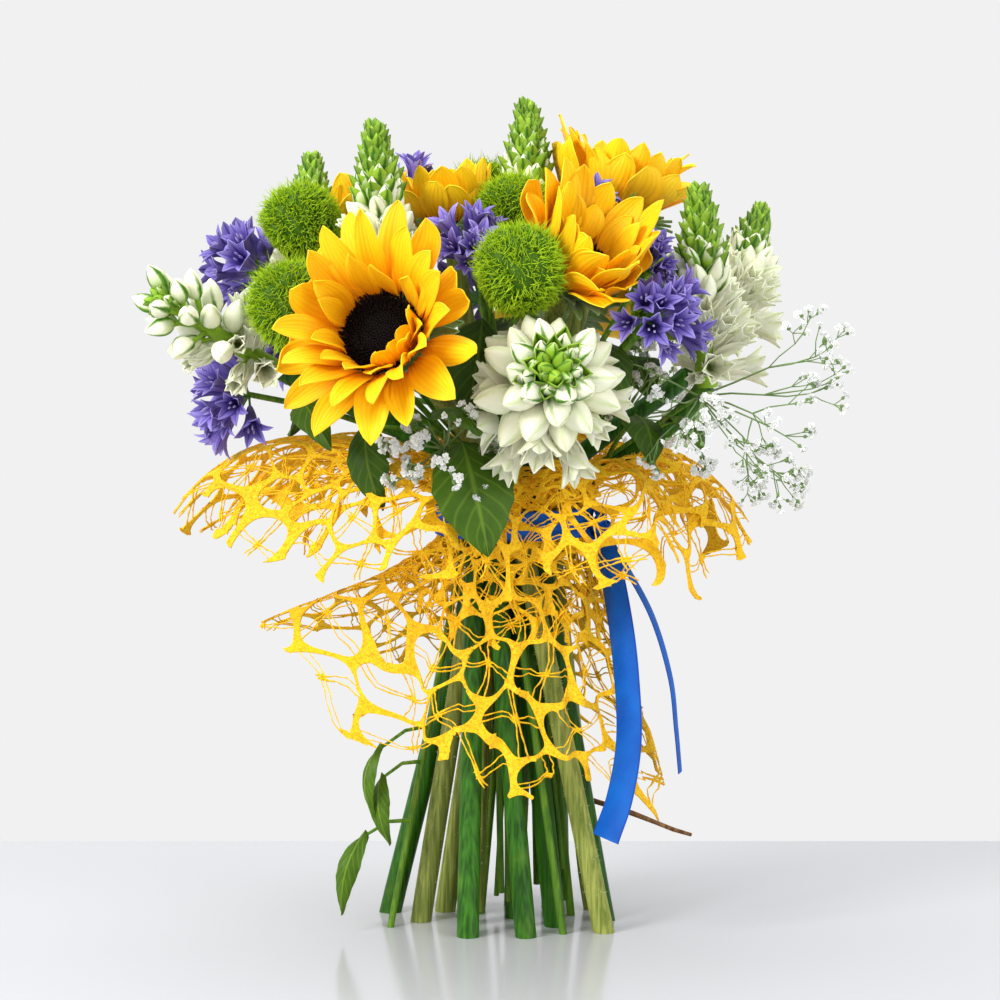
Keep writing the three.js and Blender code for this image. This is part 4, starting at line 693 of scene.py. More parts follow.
for bloom, random in each("sun", 40):
    count = 620 if bloom.name == "sunflower_1" else 380
    dome = lambda t: 1.2 + 3.0 * math.sin(max(1 - t, 0) * math.pi * 0.6)
    disc_r, turn = DISC_R * bloom.size, np.arange(24) * math.pi / 12
    rings = [[bloom.at(disc_r, a, -2.2 * bloom.size) for a in turn]]
    for t in (1, 0.8, 0.6, 0.4, 0.2):
        rings.append([bloom.at(disc_r * t, a, dome(t) * bloom.size) for a in turn])
    heap = Heap()
    heap.put(*tube(np.array(rings)), reach=0.0, tone=0.3)
    for n in range(count):
        t = math.sqrt((n + 0.5) / count) * 1.08
        angle = n * GOLDEN
        foot = bloom.at(disc_r * t, angle, (dome(t) - 0.6) * bloom.size)
        out = bloom.out(angle)
        u, v, w = axes_along(bloom.axis + out * (0.1 + 0.55 * t**3) + random.normal(0, 0.1, 3))
        tall = (1.3 + 2.5 * max(0, (t - 0.45) / 0.55) ** 1.5 + random.uniform(0, 0.5)) * bloom.size
        wide = disc_r * 0.9 / math.sqrt(count) * (1.15 if t > 0.5 else 0.95)
        points, tone = [], random.uniform(0, 1)
        split = 0.75 if t > 0.6 else 0.15
        for h, r in ((0, 0.9), (0.55, 0.8), (1, split)):
            for a in range(5):
                c, s = math.cos(a * FIFTH_TURN), math.sin(a * FIFTH_TURN)
                points.append(foot + w * tall * h + (u * c + v * s) * wide * r)
        points.append(foot + w * tall * (0.72 if t > 0.6 else 1.12))
        reach = [0.0] * 5 + [0.4 * t] * 5 + [max(0.1, t**2)] * 5 + [0.2]
        heap.put(np.array(points), FLORET_FACES, reach=reach, tone=tone)
    heap.lay(bloom.name + "_florets", disc_finish, "sunflower_disc", [bloom.name + "_disc"])

# ------------------------------------------------------------
# Sunflower backs: the stem swells into a green dish, and pointed hairy bracts lap over each other
# round it in two rows under the rays.
# ------------------------------------------------------------

bract_finish, tree, shader = finish_of("sunflower_bract", 0.66, Sheen_Weight=0.35)
patch = grained(tree, 240.0, 3.0)
colour = ramp(tree, patch, [(0.3, (0.05, 0.13, 0.018)), (0.7, (0.15, 0.27, 0.05))])
colour = mix(tree, reckon(tree, "MULTIPLY", own(tree, "reach"), 0.5), colour, (0.2, 0.36, 0.06))
rib = reckon(tree, "ABSOLUTE", own(tree, "across"), 0.0)
colour = mix(tree, grey_ramp(tree, rib, [(0.0, 0.5), (0.16, 0)]), colour, (0.36, 0.44, 0.16))
dress(tree, shader, colour, patch, 0.5, 0.0005)

# The dish's outline under the head: its radii and heights.
DISH = ((4.6, -17), (6.5, -15.4), (10, -13), (14, -10.6), (18.6, -8), (21.3, -5.5), (21.6, -2.6), (17, -2.6))
bract_x, bract_t, bract_faces = flat_grid(4, 7)
bract_half = np.maximum((0.85 + 0.3 * bract_t) * (1 - bract_t**1.7) ** 0.9, 0.03)
for bloom, random in each("sun", 60):
    planes = planes_of(bloom)
    turn = np.arange(32) * math.pi / 16
    rim = lambda r, a: r * bloom.size * (1 + 0.02 * math.cos(11 * a))
    rings = [[bloom.at(rim(r, a), a, h * bloom.size) for a in turn] for r, h in DISH]
    dish, bracts = Heap(), Heap()
    dish.put(*tube(np.array(rings)), reach=0.0, across=1.0)
    dish.lay(bloom.name + "_dish", bract_finish, "sunflower_green")
    for n in range(22):
        outer = n % 2
        angle = n * math.pi / 11 + random.normal(0, 0.05)
        out = bloom.out(angle)
        root = bloom.at((15 if outer else 18) * bloom.size, angle, (-10.8 if outer else -8.4) * bloom.size)
        long = (25 if outer else 22) * bloom.size * random.uniform(0.85, 1.05)
        lean = random.uniform(-4, 10) if outer else random.uniform(12, 24)
        spine = [root]
        for t in np.linspace(0, 1, 9)[1:]:
            tilt = math.radians(34 + (lean - 34) * t)
            spine.append(spine[-1] + (out * math.cos(tilt) + bloom.axis * math.sin(tilt)) * long / 8)
        spine = np.array([root] + [give_way(planes, p) for p in spine[1:]])
        half = 5.4 * bloom.size * bract_half
        side = np.tile(unit(np.cross(bloom.axis, out)), (9, 1))
        shape = carried(bract_x * half, bract_t, 1.0 * bract_x**2 - 0.7 * bract_t, spine, side)
        bracts.put(shape, bract_faces, reach=bract_t, across=bract_x)
    bracts.lay(bloom.name + "_bracts", bract_finish, "sunflower_green", thick=0.6)

# ------------------------------------------------------------
# Star-of-Bethlehem spikes: a thick green axis with florets in one long spiral. The lowest are open
# six-pointed stars, then cups and plump ivory buds with a green keel, and at the top tight green
# buds that overlap to a point.
# ------------------------------------------------------------

SPIKE_LOW, SPIKE_HIGH = -42, 42


def stretched(tree, value, low, high):
    return lay(tree, "MapRange", {"Value": value, "From Min": low, "From Max": high}).outputs[0]


spike_finish, tree, shader = finish_of("spike_tepal", 0.5, Specular_IOR_Level=0.3, Subsurface_Weight=0.25,
                                       Subsurface_Radius=(1.0, 1.0, 0.6), Subsurface_Scale=0.003)
reach, across, greenness, tone = (own(tree, m) for m in ("reach", "across", "green", "tone"))
fine = grained(tree, 300.0)
stripe = reckon(tree, "ADD", reckon(tree, "ABSOLUTE", across), reckon(tree, "MULTIPLY_ADD", fine, 0.3, -0.15))
stripe = reckon(tree, "SUBTRACT", 1.0, stretched(tree, stripe, 0.08, 0.4))
ends = grey_ramp(tree, reach, [(0.0, 0.9), (0.25, 0.3), (0.6, 0.15), (1.0, 0.6)])
colour = mix(tree, reckon(tree, "MULTIPLY", stripe, ends), (0.89, 0.89, 0.71), (0.42, 0.6, 0.1))
leafy = mix(tree, stripe, (0.24, 0.42, 0.03), (0.045, 0.17, 0.006))
leafy = tinged(tree, leafy, tone, (0.6, 0.65, 0.6), (1.35, 1.25, 1.1))
share = reckon(tree, "ADD", greenness, reckon(tree, "MULTIPLY_ADD", stripe, 0.3, -0.15))
share = reckon(tree, "ADD", share, reckon(tree, "MULTIPLY_ADD", reach, -0.4, 0.2))
colour = mix(tree, stretched(tree, share, 0.38, 0.62), colour, leafy)
colour = tinged(tree, colour, tone, (0.9, 0.91, 0.84), (1.04, 1.04, 1.02))
dress(tree, shader, colour, ribbed(tree, across, 24.0), 0.15, 0.0003)

tepal_x, tepal_t, tepal_faces = flat_grid(6, 8)
tepal_half = (0.5 + 0.5 * np.sin(np.clip(tepal_t / 0.5, 0, 1) * 1.571)) * (1 - tepal_t**2.8) ** 0.8
tepal_half = np.maximum(tepal_half, 0.03)


# Carries a flat shape of length 1 along a spine with a given tilt at each place, turned round its axis.
def opened(x, t, lift, tilt_at, angle):
    spine = [np.array([0.05, 0, 0])]
    for place in np.linspace(0, 1, 9)[1:]:
        tilt = tilt_at(place)
        spine.append(spine[-1] + np.array([math.sin(tilt), 0, math.cos(tilt)]) / 8)
    c, s = math.cos(angle), math.sin(angle)
    shape = carried(x, t, lift, np.array(spine), np.tile((0, 1, 0), (9, 1)))
    return shape @ np.array([(c, s, 0), (-s, c, 0), (0, 0, 1)])


# A tepal of length 1: its tilt at its root and tip, half its width, and how it curls and cups.
def tepal(angle, spread, wide, curl, cup):
    half = wide * tepal_half
    lift = cup * half * tepal_x**2 - 0.02 * np.exp(-((tepal_x / 0.2) ** 2))
    tilt_at = lambda t: spread[0] + (spread[1] - spread[0]) * t**1.3 + curl * t**3
    return opened(tepal_x * half, tepal_t, lift, tilt_at, angle)


# A closed bud of length 1: three outer tepals lapped to a point, drawn as a grooved spindle.
bud_sides, bud_rows = 12, 9
bud_angle = np.tile(np.arange(bud_sides) * 2 * math.pi / bud_sides, bud_rows)
bud_t = np.repeat(np.linspace(0, 1, bud_rows), bud_sides)
bud_r = np.sin(math.pi * np.clip(bud_t, 0.015, 0.99) ** 0.86) ** 0.64
bud_r = bud_r * (1 + 0.07 * np.cos(3 * bud_angle) * np.sin(math.pi * bud_t) + 0.025 * np.cos(6 * bud_angle))
bud_unit = np.column_stack([bud_r * np.cos(bud_angle), bud_r * np.sin(bud_angle), bud_t])
bud_across = 1 - np.abs(((bud_angle * 3 / (2 * math.pi)) % 1) - 0.5) * 2
bud_faces = tube(bud_unit.reshape(bud_rows, bud_sides, 3))[1]


# Sets an upright shape at a point, along a way and rolled about it.
def placed(shape, start, way, roll=0.0):
    u, v, w = axes_along(way)
    c, s = math.cos(roll), math.sin(roll)
    return start + shape @ np.array([u * c + v * s, v * c - u * s, w])


# An open flower: six tepals in two rings, a green ovary, and six stamens with yellow anthers.
def open_flower(petals, parts, start, way, long, wide, spread, random):
    roll, tone = random.uniform(0, 6), random.uniform(0.3, 1)
    for k in range(6):
        inner = k % 2
        lean = spread * random.uniform(0.88, 1.1) * (0.86 if inner else 1)
        shape = tepal(k * math.pi / 3 + random.normal(0, 0.05), (0.25 * lean, lean),
                      wide * (0.9 if inner else 1.0), random.normal(0.05, 0.12), random.uniform(0.35, 0.8))
        petals.put(placed(shape * long, start, way, roll), tepal_faces,
                   reach=tepal_t, across=tepal_x, green=0.1 * inner, tone=tone)
    if spread < 0.55:
        return
    heart = bud_unit * (0.11, 0.11, 0.3)
    parts.put(placed(heart * long, start, way), bud_faces,
              reach=bud_t * 0.5, across=bud_across, green=0.9, tone=tone)
    for k in range(6):
        a = k * math.pi / 3 + 0.3
        tip = np.array([math.cos(a) * 0.22, math.sin(a) * 0.22, 0.42])
        line = np.array([np.zeros(3), tip * (0.4, 0.4, 0.6), tip])
        thread = stalk(placed(line * long, start, way, roll), np.array([0.25, 0.22, 0.18]), 4)
        parts.put(*tube(thread), reach=0.5, across=1.0, green=0.0, tone=1.0)
        pod = bud_unit * (0.03, 0.03, 0.12) * long
        parts.put(placed(pod, placed(tip[None] * long, start, way, roll)[0], way + random.normal(0, 0.5, 3)),
                  bud_faces, reach=0.3, across=0.0, green=0.0, tone=0.6)


# The stages up a spike: open flowers, opening ones, plump buds, green ones. For each its number, and
# from low to high its share of the axis, its lift, how far it comes out, its length and thickness.
SPIKE_HABIT = {
    "white_spike_1": [(13, (0.02, 0.3), (-0.1, 0.26), (49, 42), (31, 30), (0, 0)),
                      (12, (0.24, 0.44), (0.16, 0.42), (42, 37), (27, 26), (7.4, 7.0)),
                      (14, (0.42, 0.64), (0.42, 0.84), (36, 28), (25, 21), (7.2, 5.8)),
                      (15, (0.6, 0.78), (0.72, 1.3), (31, 20), (24, 17), (5.4, 4.0))],
    "white_spike_2": [(6, (0.02, 0.2), (0.05, 0.35), (37, 35), (25, 25), (0, 0)),
                      (6, (0.16, 0.34), (0.3, 0.6), (36, 33), (24, 22), (0, 0)),
                      (17, (0.3, 0.76), (0.35, 1.05), (35, 25), (19, 15), (5.6, 4.6)),
                      (9, (0.76, 0.88), (1.1, 1.4), (16, 10), (12, 8), (3.4, 2.2))],
    "upright": [(11, (-0.02, 0.16), (0.05, 0.55), (31, 29), (26, 25), (0, 0)),
                (10, (0.14, 0.3), (0.6, 0.85), (29, 27), (25, 23), (0, 0)),
                (17, (0.29, 0.5), (0.8, 1.15), (26, 21), (20, 16), (4.9, 4.2)),
                (46, (0.49, 0.92), (1.0, 1.32), (20, 10), (15, 9), (3.9, 2.2))],
}
SPIKE_HABIT["white_spike_8"] = SPIKE_HABIT["white_spike_2"]

for bloom, random in each("spike", 200):
    planes = planes_of(bloom)
    size, wide = bloom.size, bloom.wide
    height = (SPIKE_HIGH - SPIKE_LOW) * size
    petals, solid = Heap(), Heap()
    facing = bloom.name == "white_spike_1"
    droop = 10 if facing else 0
    on_axis = lambda t: (bloom.centre + bloom.axis * (SPIKE_LOW * size + t * height)
                         - (0, 0, droop * max(t, 0) ** 2))
    steps = np.linspace(-0.06, 0.9, 14)
    axis_line = np.array([on_axis(t) for t in steps])
    axis_r = np.interp(steps, [-0.06, 0.1, 0.6, 0.9], [5.0, 4.6, 3.4, 1.0]) * size
    solid.put(*tube(stalk(axis_line, axis_r, 10)), reach=0.4, across=1.0, green=1.0, tone=0.6)
    habit = SPIKE_HABIT.get(bloom.name, SPIKE_HABIT["upright"])
    angle = random.uniform(0, 6)
    for stage, (count, t_span, lifts, outs, longs, fats) in enumerate(habit):
        for n in range(count):
            s = (n + 0.5) / count
            between = lambda span: span[0] + (span[1] - span[0]) * s
            t = between(t_span)
            angle += GOLDEN
            out = bloom.out(angle)
            lift = between(lifts) + random.normal(0, 0.06)
            way = unit(out * math.cos(lift) + bloom.axis * math.sin(lift) + random.normal(0, 0.04, 3))
            full = between(outs) * random.uniform(0.93, 1.05)
            room = (-6, 4) if facing else (3, 9) if stage < 2 else (1, 9)
            tip = give_way(planes, on_axis(t) + way * full, *room)
            full = np.linalg.norm(tip - on_axis(t))
            way = (tip - on_axis(t)) / full
            long = min(between(longs) * random.uniform(0.92, 1.06), full * 0.85)
            foot = tip - way * long
            if stage == 3:
                foot = on_axis(t) + out * np.interp(t, (0.5, 0.92), (6.5, 1.6)) * size
                way = unit(way + bloom.axis * 0.6)
            else:
                line = np.array([on_axis(t), on_axis(t) * 0.5 + foot * 0.5 - (0, 0, 1.0), foot + way * 1.2])
                thread = stalk(line, np.array([1.5, 1.05, 1.7]), 6)
                solid.put(*tube(thread), reach=0.5, across=1.0, green=0.8, tone=0.6)
            if fats == (0, 0):
                spread = random.uniform(0.3, 0.6) if stage == 0 else random.uniform(0.1, 0.26)
                open_flower(petals, solid, foot, way, long, 0.25 if stage == 0 else 0.23, spread, random)
                continue
            shape = bud_unit * (between(fats), between(fats), long)
            shape[:, 0] += 0.05 * long * np.sin(math.pi * bud_t)
            green = (0, 0.26, 0.28 + 0.38 * s, 0.62 + 0.5 * s)[stage]
            solid.put(placed(shape, foot, way, random.uniform(0, 6)), bud_faces,
                      reach=bud_t, across=bud_across, green=green, tone=random.uniform(0.2, 1))
            if stage == 3:
                guard = tepal(0.0, (0.4, 0.0), 0.33, 0.02, 0.9) * long * 1.05
                petals.put(placed(guard, foot - way * 0.8, way, angle), tepal_faces,
                           reach=tepal_t, across=tepal_x, green=1.0, tone=random.uniform(0, 0.8))
    solid.lay(bloom.name + "_buds", spike_finish, "spike_white", [bloom.name + "_flowers"])
    petals.lay(bloom.name + "_open", spike_finish, "spike_white", thick=0.5)

# ------------------------------------------------------------
# Green dianthus balls: a round flower head that is nothing but soft green bristles, matted and
# curled, lime green at their tips. Painted shade darkens each bristle toward its foot and makes
# the core between them nearly black.
# ------------------------------------------------------------

BALL_CORE_R, BALL_R, BRISTLES = 17.4, 21, 3900
# A bristle is three-sided: its foot, its walls and its point.
BRISTLE_FACES = [(2, 1, 0), (0, 1, 4, 3), (1, 2, 5, 4), (2, 0, 3, 5), (3, 4, 6), (4, 5, 6), (5, 3, 6)]

moss_finish, tree, shader = finish_of("dianthus_bristle", 0.6, Specular_IOR_Level=0.15)
# Painted shade: near black at a bristle's foot and on the core, where shade falls between the bristles, rising
# to lime green at the tip.
colour = ramp(tree, own(tree, "reach"), [(0.0, (0.02, 0.07, 0.001)), (0.4, (0.18, 0.36, 0.006)),
                                         (1.0, (0.6, 0.82, 0.025))])
colour = tinged(tree, colour, own(tree, "tone"), (0.75, 0.85, 0.7), (1.25, 1.1, 1.0))
speck = grained(tree, 900.0)
colour = mix(tree, reckon(tree, "MULTIPLY", speck, 0.3), colour, (0.2, 0.4, 0.015))
dress(tree, shader, colour, speck, 0.3, 0.0002)

bpy.ops.object.select_all(action="DESELECT")
bpy.ops.mesh.primitive_ico_sphere_add(subdivisions=4, radius=1)
ball = bpy.context.object
ball_unit = np.array([v.co for v in ball.data.vertices])
ball_faces = [tuple(p.vertices) for p in ball.data.polygons]
bpy.data.objects.remove(ball)

for bloom, random in each("ball", 300):
    planes = planes_of(bloom)
    heap, size = Heap(), bloom.size * (0.92 if bloom.name == "green_ball_3" else 1)
    bumps = 1 + 0.05 * np.sin(ball_unit @ (9, 4, 7)) + 0.05 * np.sin(ball_unit @ (-5, 11, 3))
    core = bloom.centre + ball_unit * (BALL_CORE_R * size * bumps)[:, None]
    # The core takes the darkest stop of the ramp: a nearly black painted shade between the bristles.
    heap.put(np.array([give_way(planes, p, 2.0) for p in core]), ball_faces, reach=0.0, tone=0.2)
    for n in range(BRISTLES):
        z = 1 - 2 * (n + 0.5) / BRISTLES
        a = n * GOLDEN
        out = np.array([math.cos(a) * math.sqrt(1 - z * z), math.sin(a) * math.sqrt(1 - z * z), z])
        out = unit(out + random.normal(0, 0.06, 3))
        long = (BALL_R * random.uniform(0.9, 1.0) - 0.94 * BALL_CORE_R) * size
        foot = bloom.centre + out * BALL_CORE_R * 0.94 * size
        bend = random.normal(0, 0.6, 3)
        line = np.array([foot, foot + (out + 0.4 * bend) * long * 0.5, foot + (out + 0.9 * bend) * long])
        line = np.array([give_way(planes, p, 0.3, 5) for p in line])
        u, v, w = axes_along(line[2] - line[0])
        r = 0.3
        tri = [u * math.cos(b) + v * math.sin(b) for b in TRIANGLE]
        points = [line[0] + c * r for c in tri] + [line[1] + c * r * 0.85 for c in tri] + [line[2]]
        # Each bristle darkens toward its foot with painted shade and is lime green at its point.
        reach = [0.0] * 3 + [0.6] * 3 + [1.0]
        heap.put(np.array(points), BRISTLE_FACES, reach=reach, tone=random.uniform(0, 1))
    heap.lay(bloom.name + "_bristles", moss_finish, "dianthus_green", [bloom.name])

# ------------------------------------------------------------
# Blue brodiaea: an umbel of violet-blue trumpets, each on a thin green stalk from one point, with
# six pointed lobes that turn out and a darker vein down each, and a few slim buds among them.
# ------------------------------------------------------------

blue_finish, tree, shader = finish_of("brodiaea_tepal", 0.55, Specular_IOR_Level=0.2)
reach, across, greenness, tone = (own(tree, m) for m in ("reach", "across", "green", "tone"))
vein = grey_ramp(tree, reckon(tree, "ABSOLUTE", across), [(0.05, 0.8), (0.3, 0)])
colour = ramp(tree, reach, [(0.0, (0.34, 0.3, 0.55)), (0.3, (0.12, 0.09, 0.37)), (0.7, (0.18, 0.135, 0.48)),
                            (1.0, (0.34, 0.3, 0.7))])
colour = mix(tree, vein, colour, (0.06, 0.035, 0.28))
colour = tinged(tree, colour, tone, (0.75, 0.7, 0.8), (1.3, 1.25, 1.15))
colour = mix(tree, greenness, colour, (0.09, 0.22, 0.03))
dress(tree, shader, colour, ribbed(tree, across, 18.0), 0.25, 0.0003)

BLUE_FLOWERS, BLUE_REACH = 17, 25
lobe_x, lobe_t, lobe_faces = flat_grid(4, 8)
lobe_half = np.interp(lobe_t, [0, 0.2, 0.45, 0.62, 0.8, 0.93, 1.0], [0.28, 0.62, 0.85, 1.0, 0.82, 0.42, 0.05])


# One of a trumpet's six lobes, of length 1, with the part of the tube below it.
def lobe(angle, flare, wide):
    tilt_at = lambda t: np.interp(t, [0, 0.2, 0.5, 0.75, 1.0], [0.55, 0.12, 0.15, 0.75 * flare, 1.25 * flare])
    half = wide * lobe_half
    return opened(lobe_x * half, lobe_t, 0.5 * half * lobe_x**2, tilt_at, angle)


for bloom, random in each("blue", 400):
    planes = planes_of(bloom)
    size = bloom.size
    hub = bloom.base - bloom.axis
    petals, solid = Heap(), Heap()
    for n in range(BLUE_FLOWERS):
        z = 1 - 0.93 * (n + 0.4) / BLUE_FLOWERS
        way = unit(bloom.toward(n * GOLDEN + 1, z) + random.normal(0, 0.08, 3))
        long = (BLUE_REACH + random.uniform(-4, 2)) * size
        end = give_way(planes, hub + way * long, 4 * size)
        long = min(long, np.linalg.norm(end - hub))
        way = unit(end - hub)
        stem_end = hub + way * long * 0.36
        sag = np.array([0, 0, -1.0]) * random.uniform(0, 1.5)
        line = np.array([hub, hub + way * long * 0.18 + sag, stem_end])
        thread = stalk(line, np.array([0.75, 0.6, 0.75]), 5)
        solid.put(*tube(thread), reach=0.5, across=1.0, green=1.0, tone=0.5)
        if n % 5 == 3:
            shape = bud_unit * (2.3 * size, 2.3 * size, long * 0.56)
            solid.put(placed(shape, stem_end, way), bud_faces,
                      reach=bud_t * 0.6, across=1 - bud_across * 0.8, green=0.0, tone=random.uniform(0, 0.4))
            continue
        roll, tone = random.uniform(0, 6), random.uniform(0, 1)
        full = long * 0.8
        for k in range(6):
            wide = 0.12 if k % 2 else 0.145
            shape = lobe(k * math.pi / 3 + random.normal(0, 0.04), random.uniform(0.4, 0.95), wide)
            petals.put(placed(shape * full, stem_end - way * 0.4, way, roll), lobe_faces,
                       reach=lobe_t, across=lobe_x, green=0.0, tone=tone)
        for k in range(3):
            a = k * TRIANGLE[1]
            tip = np.array([math.cos(a) * 0.07, math.sin(a) * 0.07, 0.62])
            pod = bud_unit * (0.025, 0.025, 0.2) + tip
            solid.put(placed(pod * full, stem_end, way, roll), bud_faces,
                      reach=0.0, across=1.0, green=0.0, tone=1.0)
    solid.lay(bloom.name + "_stalks", blue_finish, "brodiaea_blue", [bloom.name])
    petals.lay(bloom.name + "_trumpets", blue_finish, "brodiaea_blue", thick=0.35)

# ------------------------------------------------------------
# Baby's breath: wiry green sprays that fork and fork again, with a tiny white double flower, a knot
# of crumpled petals on a green cup, at the end of every twig.
# ------------------------------------------------------------

breath_finish, tree, shader = finish_of("breath_petal", 0.7, Sheen_Weight=0.2)
fold = grained(tree, 1500.0)
colour = ramp(tree, fold, [(0.35, (0.78, 0.8, 0.75)), (0.6, (0.96, 0.96, 0.94))])
colour = mix(tree, own(tree, "green"), colour, (0.16, 0.27, 0.07))
dress(tree, shader, colour, fold, 0.5, 0.0003)

# One flower of radius 1: eleven little cupped petals round a cup.
cup = bud_unit * (0.34, 0.34, 0.8) - (0, 0, 0.9)
cup_rows = [0, 3, 6, 8]
cup_pick = [k * bud_sides + i for k in cup_rows for i in range(0, bud_sides, 2)]
flower = Heap()
flower.put(*tube(cup[cup_pick].reshape(len(cup_rows), -1, 3)), green=1.0)
crumpled = [(0, 1, 2, 3, 4)] + [((k + 1) % 5, k, 5) for k in range(5)]
for n in range(11):
    a, tilt = n * GOLDEN, 1.15 - 0.095 * n
    out = np.array([math.cos(a) * math.sin(tilt), math.sin(a) * math.sin(tilt), math.cos(tilt)])
    side = unit(np.cross((0.01, 0.02, 1), out))
    up = np.cross(out, side)
    root, tip = out * 0.12, out * (1.0 - 0.02 * n)
    petal = [root, out * 0.6 + side * 0.36 + up * 0.1, tip + side * 0.2, tip - side * 0.2 + up * 0.08,
             out * 0.6 - side * 0.36 + up * 0.1, out * 0.62 - up * 0.16]
    flower.put(np.array(petal), crumpled, green=0.0)
flower_unit, flower_green = np.vstack(flower.points), np.concatenate(flower.marks["green"])

# No twig ends above this height and this near to the spike at the right.
SPIKE_GAP_X, SPIKE_GAP_HALF, SPIKE_GAP_Z = 94, 21, 272
TWIG_COUNT = {"babys_breath_1": 120, "babys_breath_2": 20, "babys_breath_3": 26}
heads = [b for b in blooms.values() if b.kind != "breath"]


def inside(p):
    for b in heads:
        low, high = (h * b.size for h in CORE[b.kind][:2])
        on = b.centre + b.axis * np.clip((p - b.centre) @ b.axis, low, high)
        if np.linalg.norm(p - on) < (1.15 if b.name == "white_spike_5" else 0.8) * shared_reach(b):
            return True
    return False


for bloom, random in each("breath", 500):
    heap = Heap()

    def twig(line, thick):
        heap.put(*tube(stalk(np.array(line), np.linspace(thick, thick * 0.75, len(line)), 4)), green=1.0)

    def grow(start, way, long, level):
        bend = unit(way + random.normal(0, 0.12, 3) + (0, 0, 0.04))
        end = start + bend * long
        if inside(end) or abs(end[0] - SPIKE_GAP_X) < SPIKE_GAP_HALF and end[2] > SPIKE_GAP_Z:
            return
        twig([start, start + (way * 0.5 + bend * 0.5) * long * 0.5, end], (0.55, 0.42, 0.3, 0.26)[level])
        if level == 3 or (level == 2 and random.random() < 0.35):
            shape = flower_unit * random.uniform(2.2, 3.3)
            shape = placed(shape, end, bend + random.normal(0, 0.2, 3), random.uniform(0, 6))
            heap.put(shape, flower.faces, green=flower_green)
            return
        for k in range(3 if level else 2 + int(random.random() < 0.6)):
            fork = unit(bend + random.normal(0, 0.42, 3))
            grow(end, fork, long * random.uniform(0.4, 0.66), level + 1)

    for n in range(TWIG_COUNT[bloom.name]):
        z = 1 - 1.35 * (n + 0.5) / TWIG_COUNT[bloom.name]
        way = unit(bloom.toward(n * GOLDEN + 0.7, z) + (0, 0, 0.35))
        grow(bloom.base + way, way, random.uniform(14, 37) * bloom.size**0.6, 0)
    heap.lay(bloom.name + "_spray", breath_finish, "breath_white", [bloom.name])

# ------------------------------------------------------------
# Leaves: dark glossy blades with a pale midrib, side veins that sink between raised panels, and a
# waved edge, each on a short stalk from the stem that it grows on. A dry brown side shoot too.
# ------------------------------------------------------------

leaf_finish, tree, shader = finish_of("leaf_blade", 0.45, Specular_IOR_Level=0.16)
reach, across, tone = own(tree, "reach"), own(tree, "across"), own(tree, "tone")
patch = grained(tree, 120.0, 4.0)
wide_of = reckon(tree, "ABSOLUTE", across)
slant = reckon(tree, "MULTIPLY", reach, 44.0)
slant = reckon(tree, "SUBTRACT", slant, reckon(tree, "MULTIPLY", wide_of, 13.0))
side_vein = reckon(tree, "MULTIPLY_ADD", reckon(tree, "COSINE", slant), 0.5, 0.5)
side_vein = reckon(tree, "POWER", side_vein, 9.0)
midrib = grey_ramp(tree, wide_of, [(0.02, 1), (0.09, 0)])
vein = reckon(tree, "MAXIMUM", midrib, reckon(tree, "MULTIPLY", side_vein, 0.55))
colour = mix(tree, patch, (0.02, 0.055, 0.003), (0.065, 0.135, 0.008))
colour = mix(tree, reckon(tree, "MULTIPLY", vein, 0.45), colour, (0.19, 0.29, 0.03))
colour = tinged(tree, colour, tone, (0.7, 0.75, 0.7), (1.5, 1.5, 1.3))
tree.links.new(colour, shader.inputs["Base Color"])
bump = lay(tree, "Bump", {"Height": vein, "Strength": 0.5, "Distance": 0.0006}, invert=True)
tree.links.new(bump.outputs[0], shader.inputs["Normal"])
shoot_finish = stem_finish("dry_shoot", 0.8, (0.12, 0.05, 0.02), (0.3, 0.16, 0.07), (0.2, 0.16, 0.08))

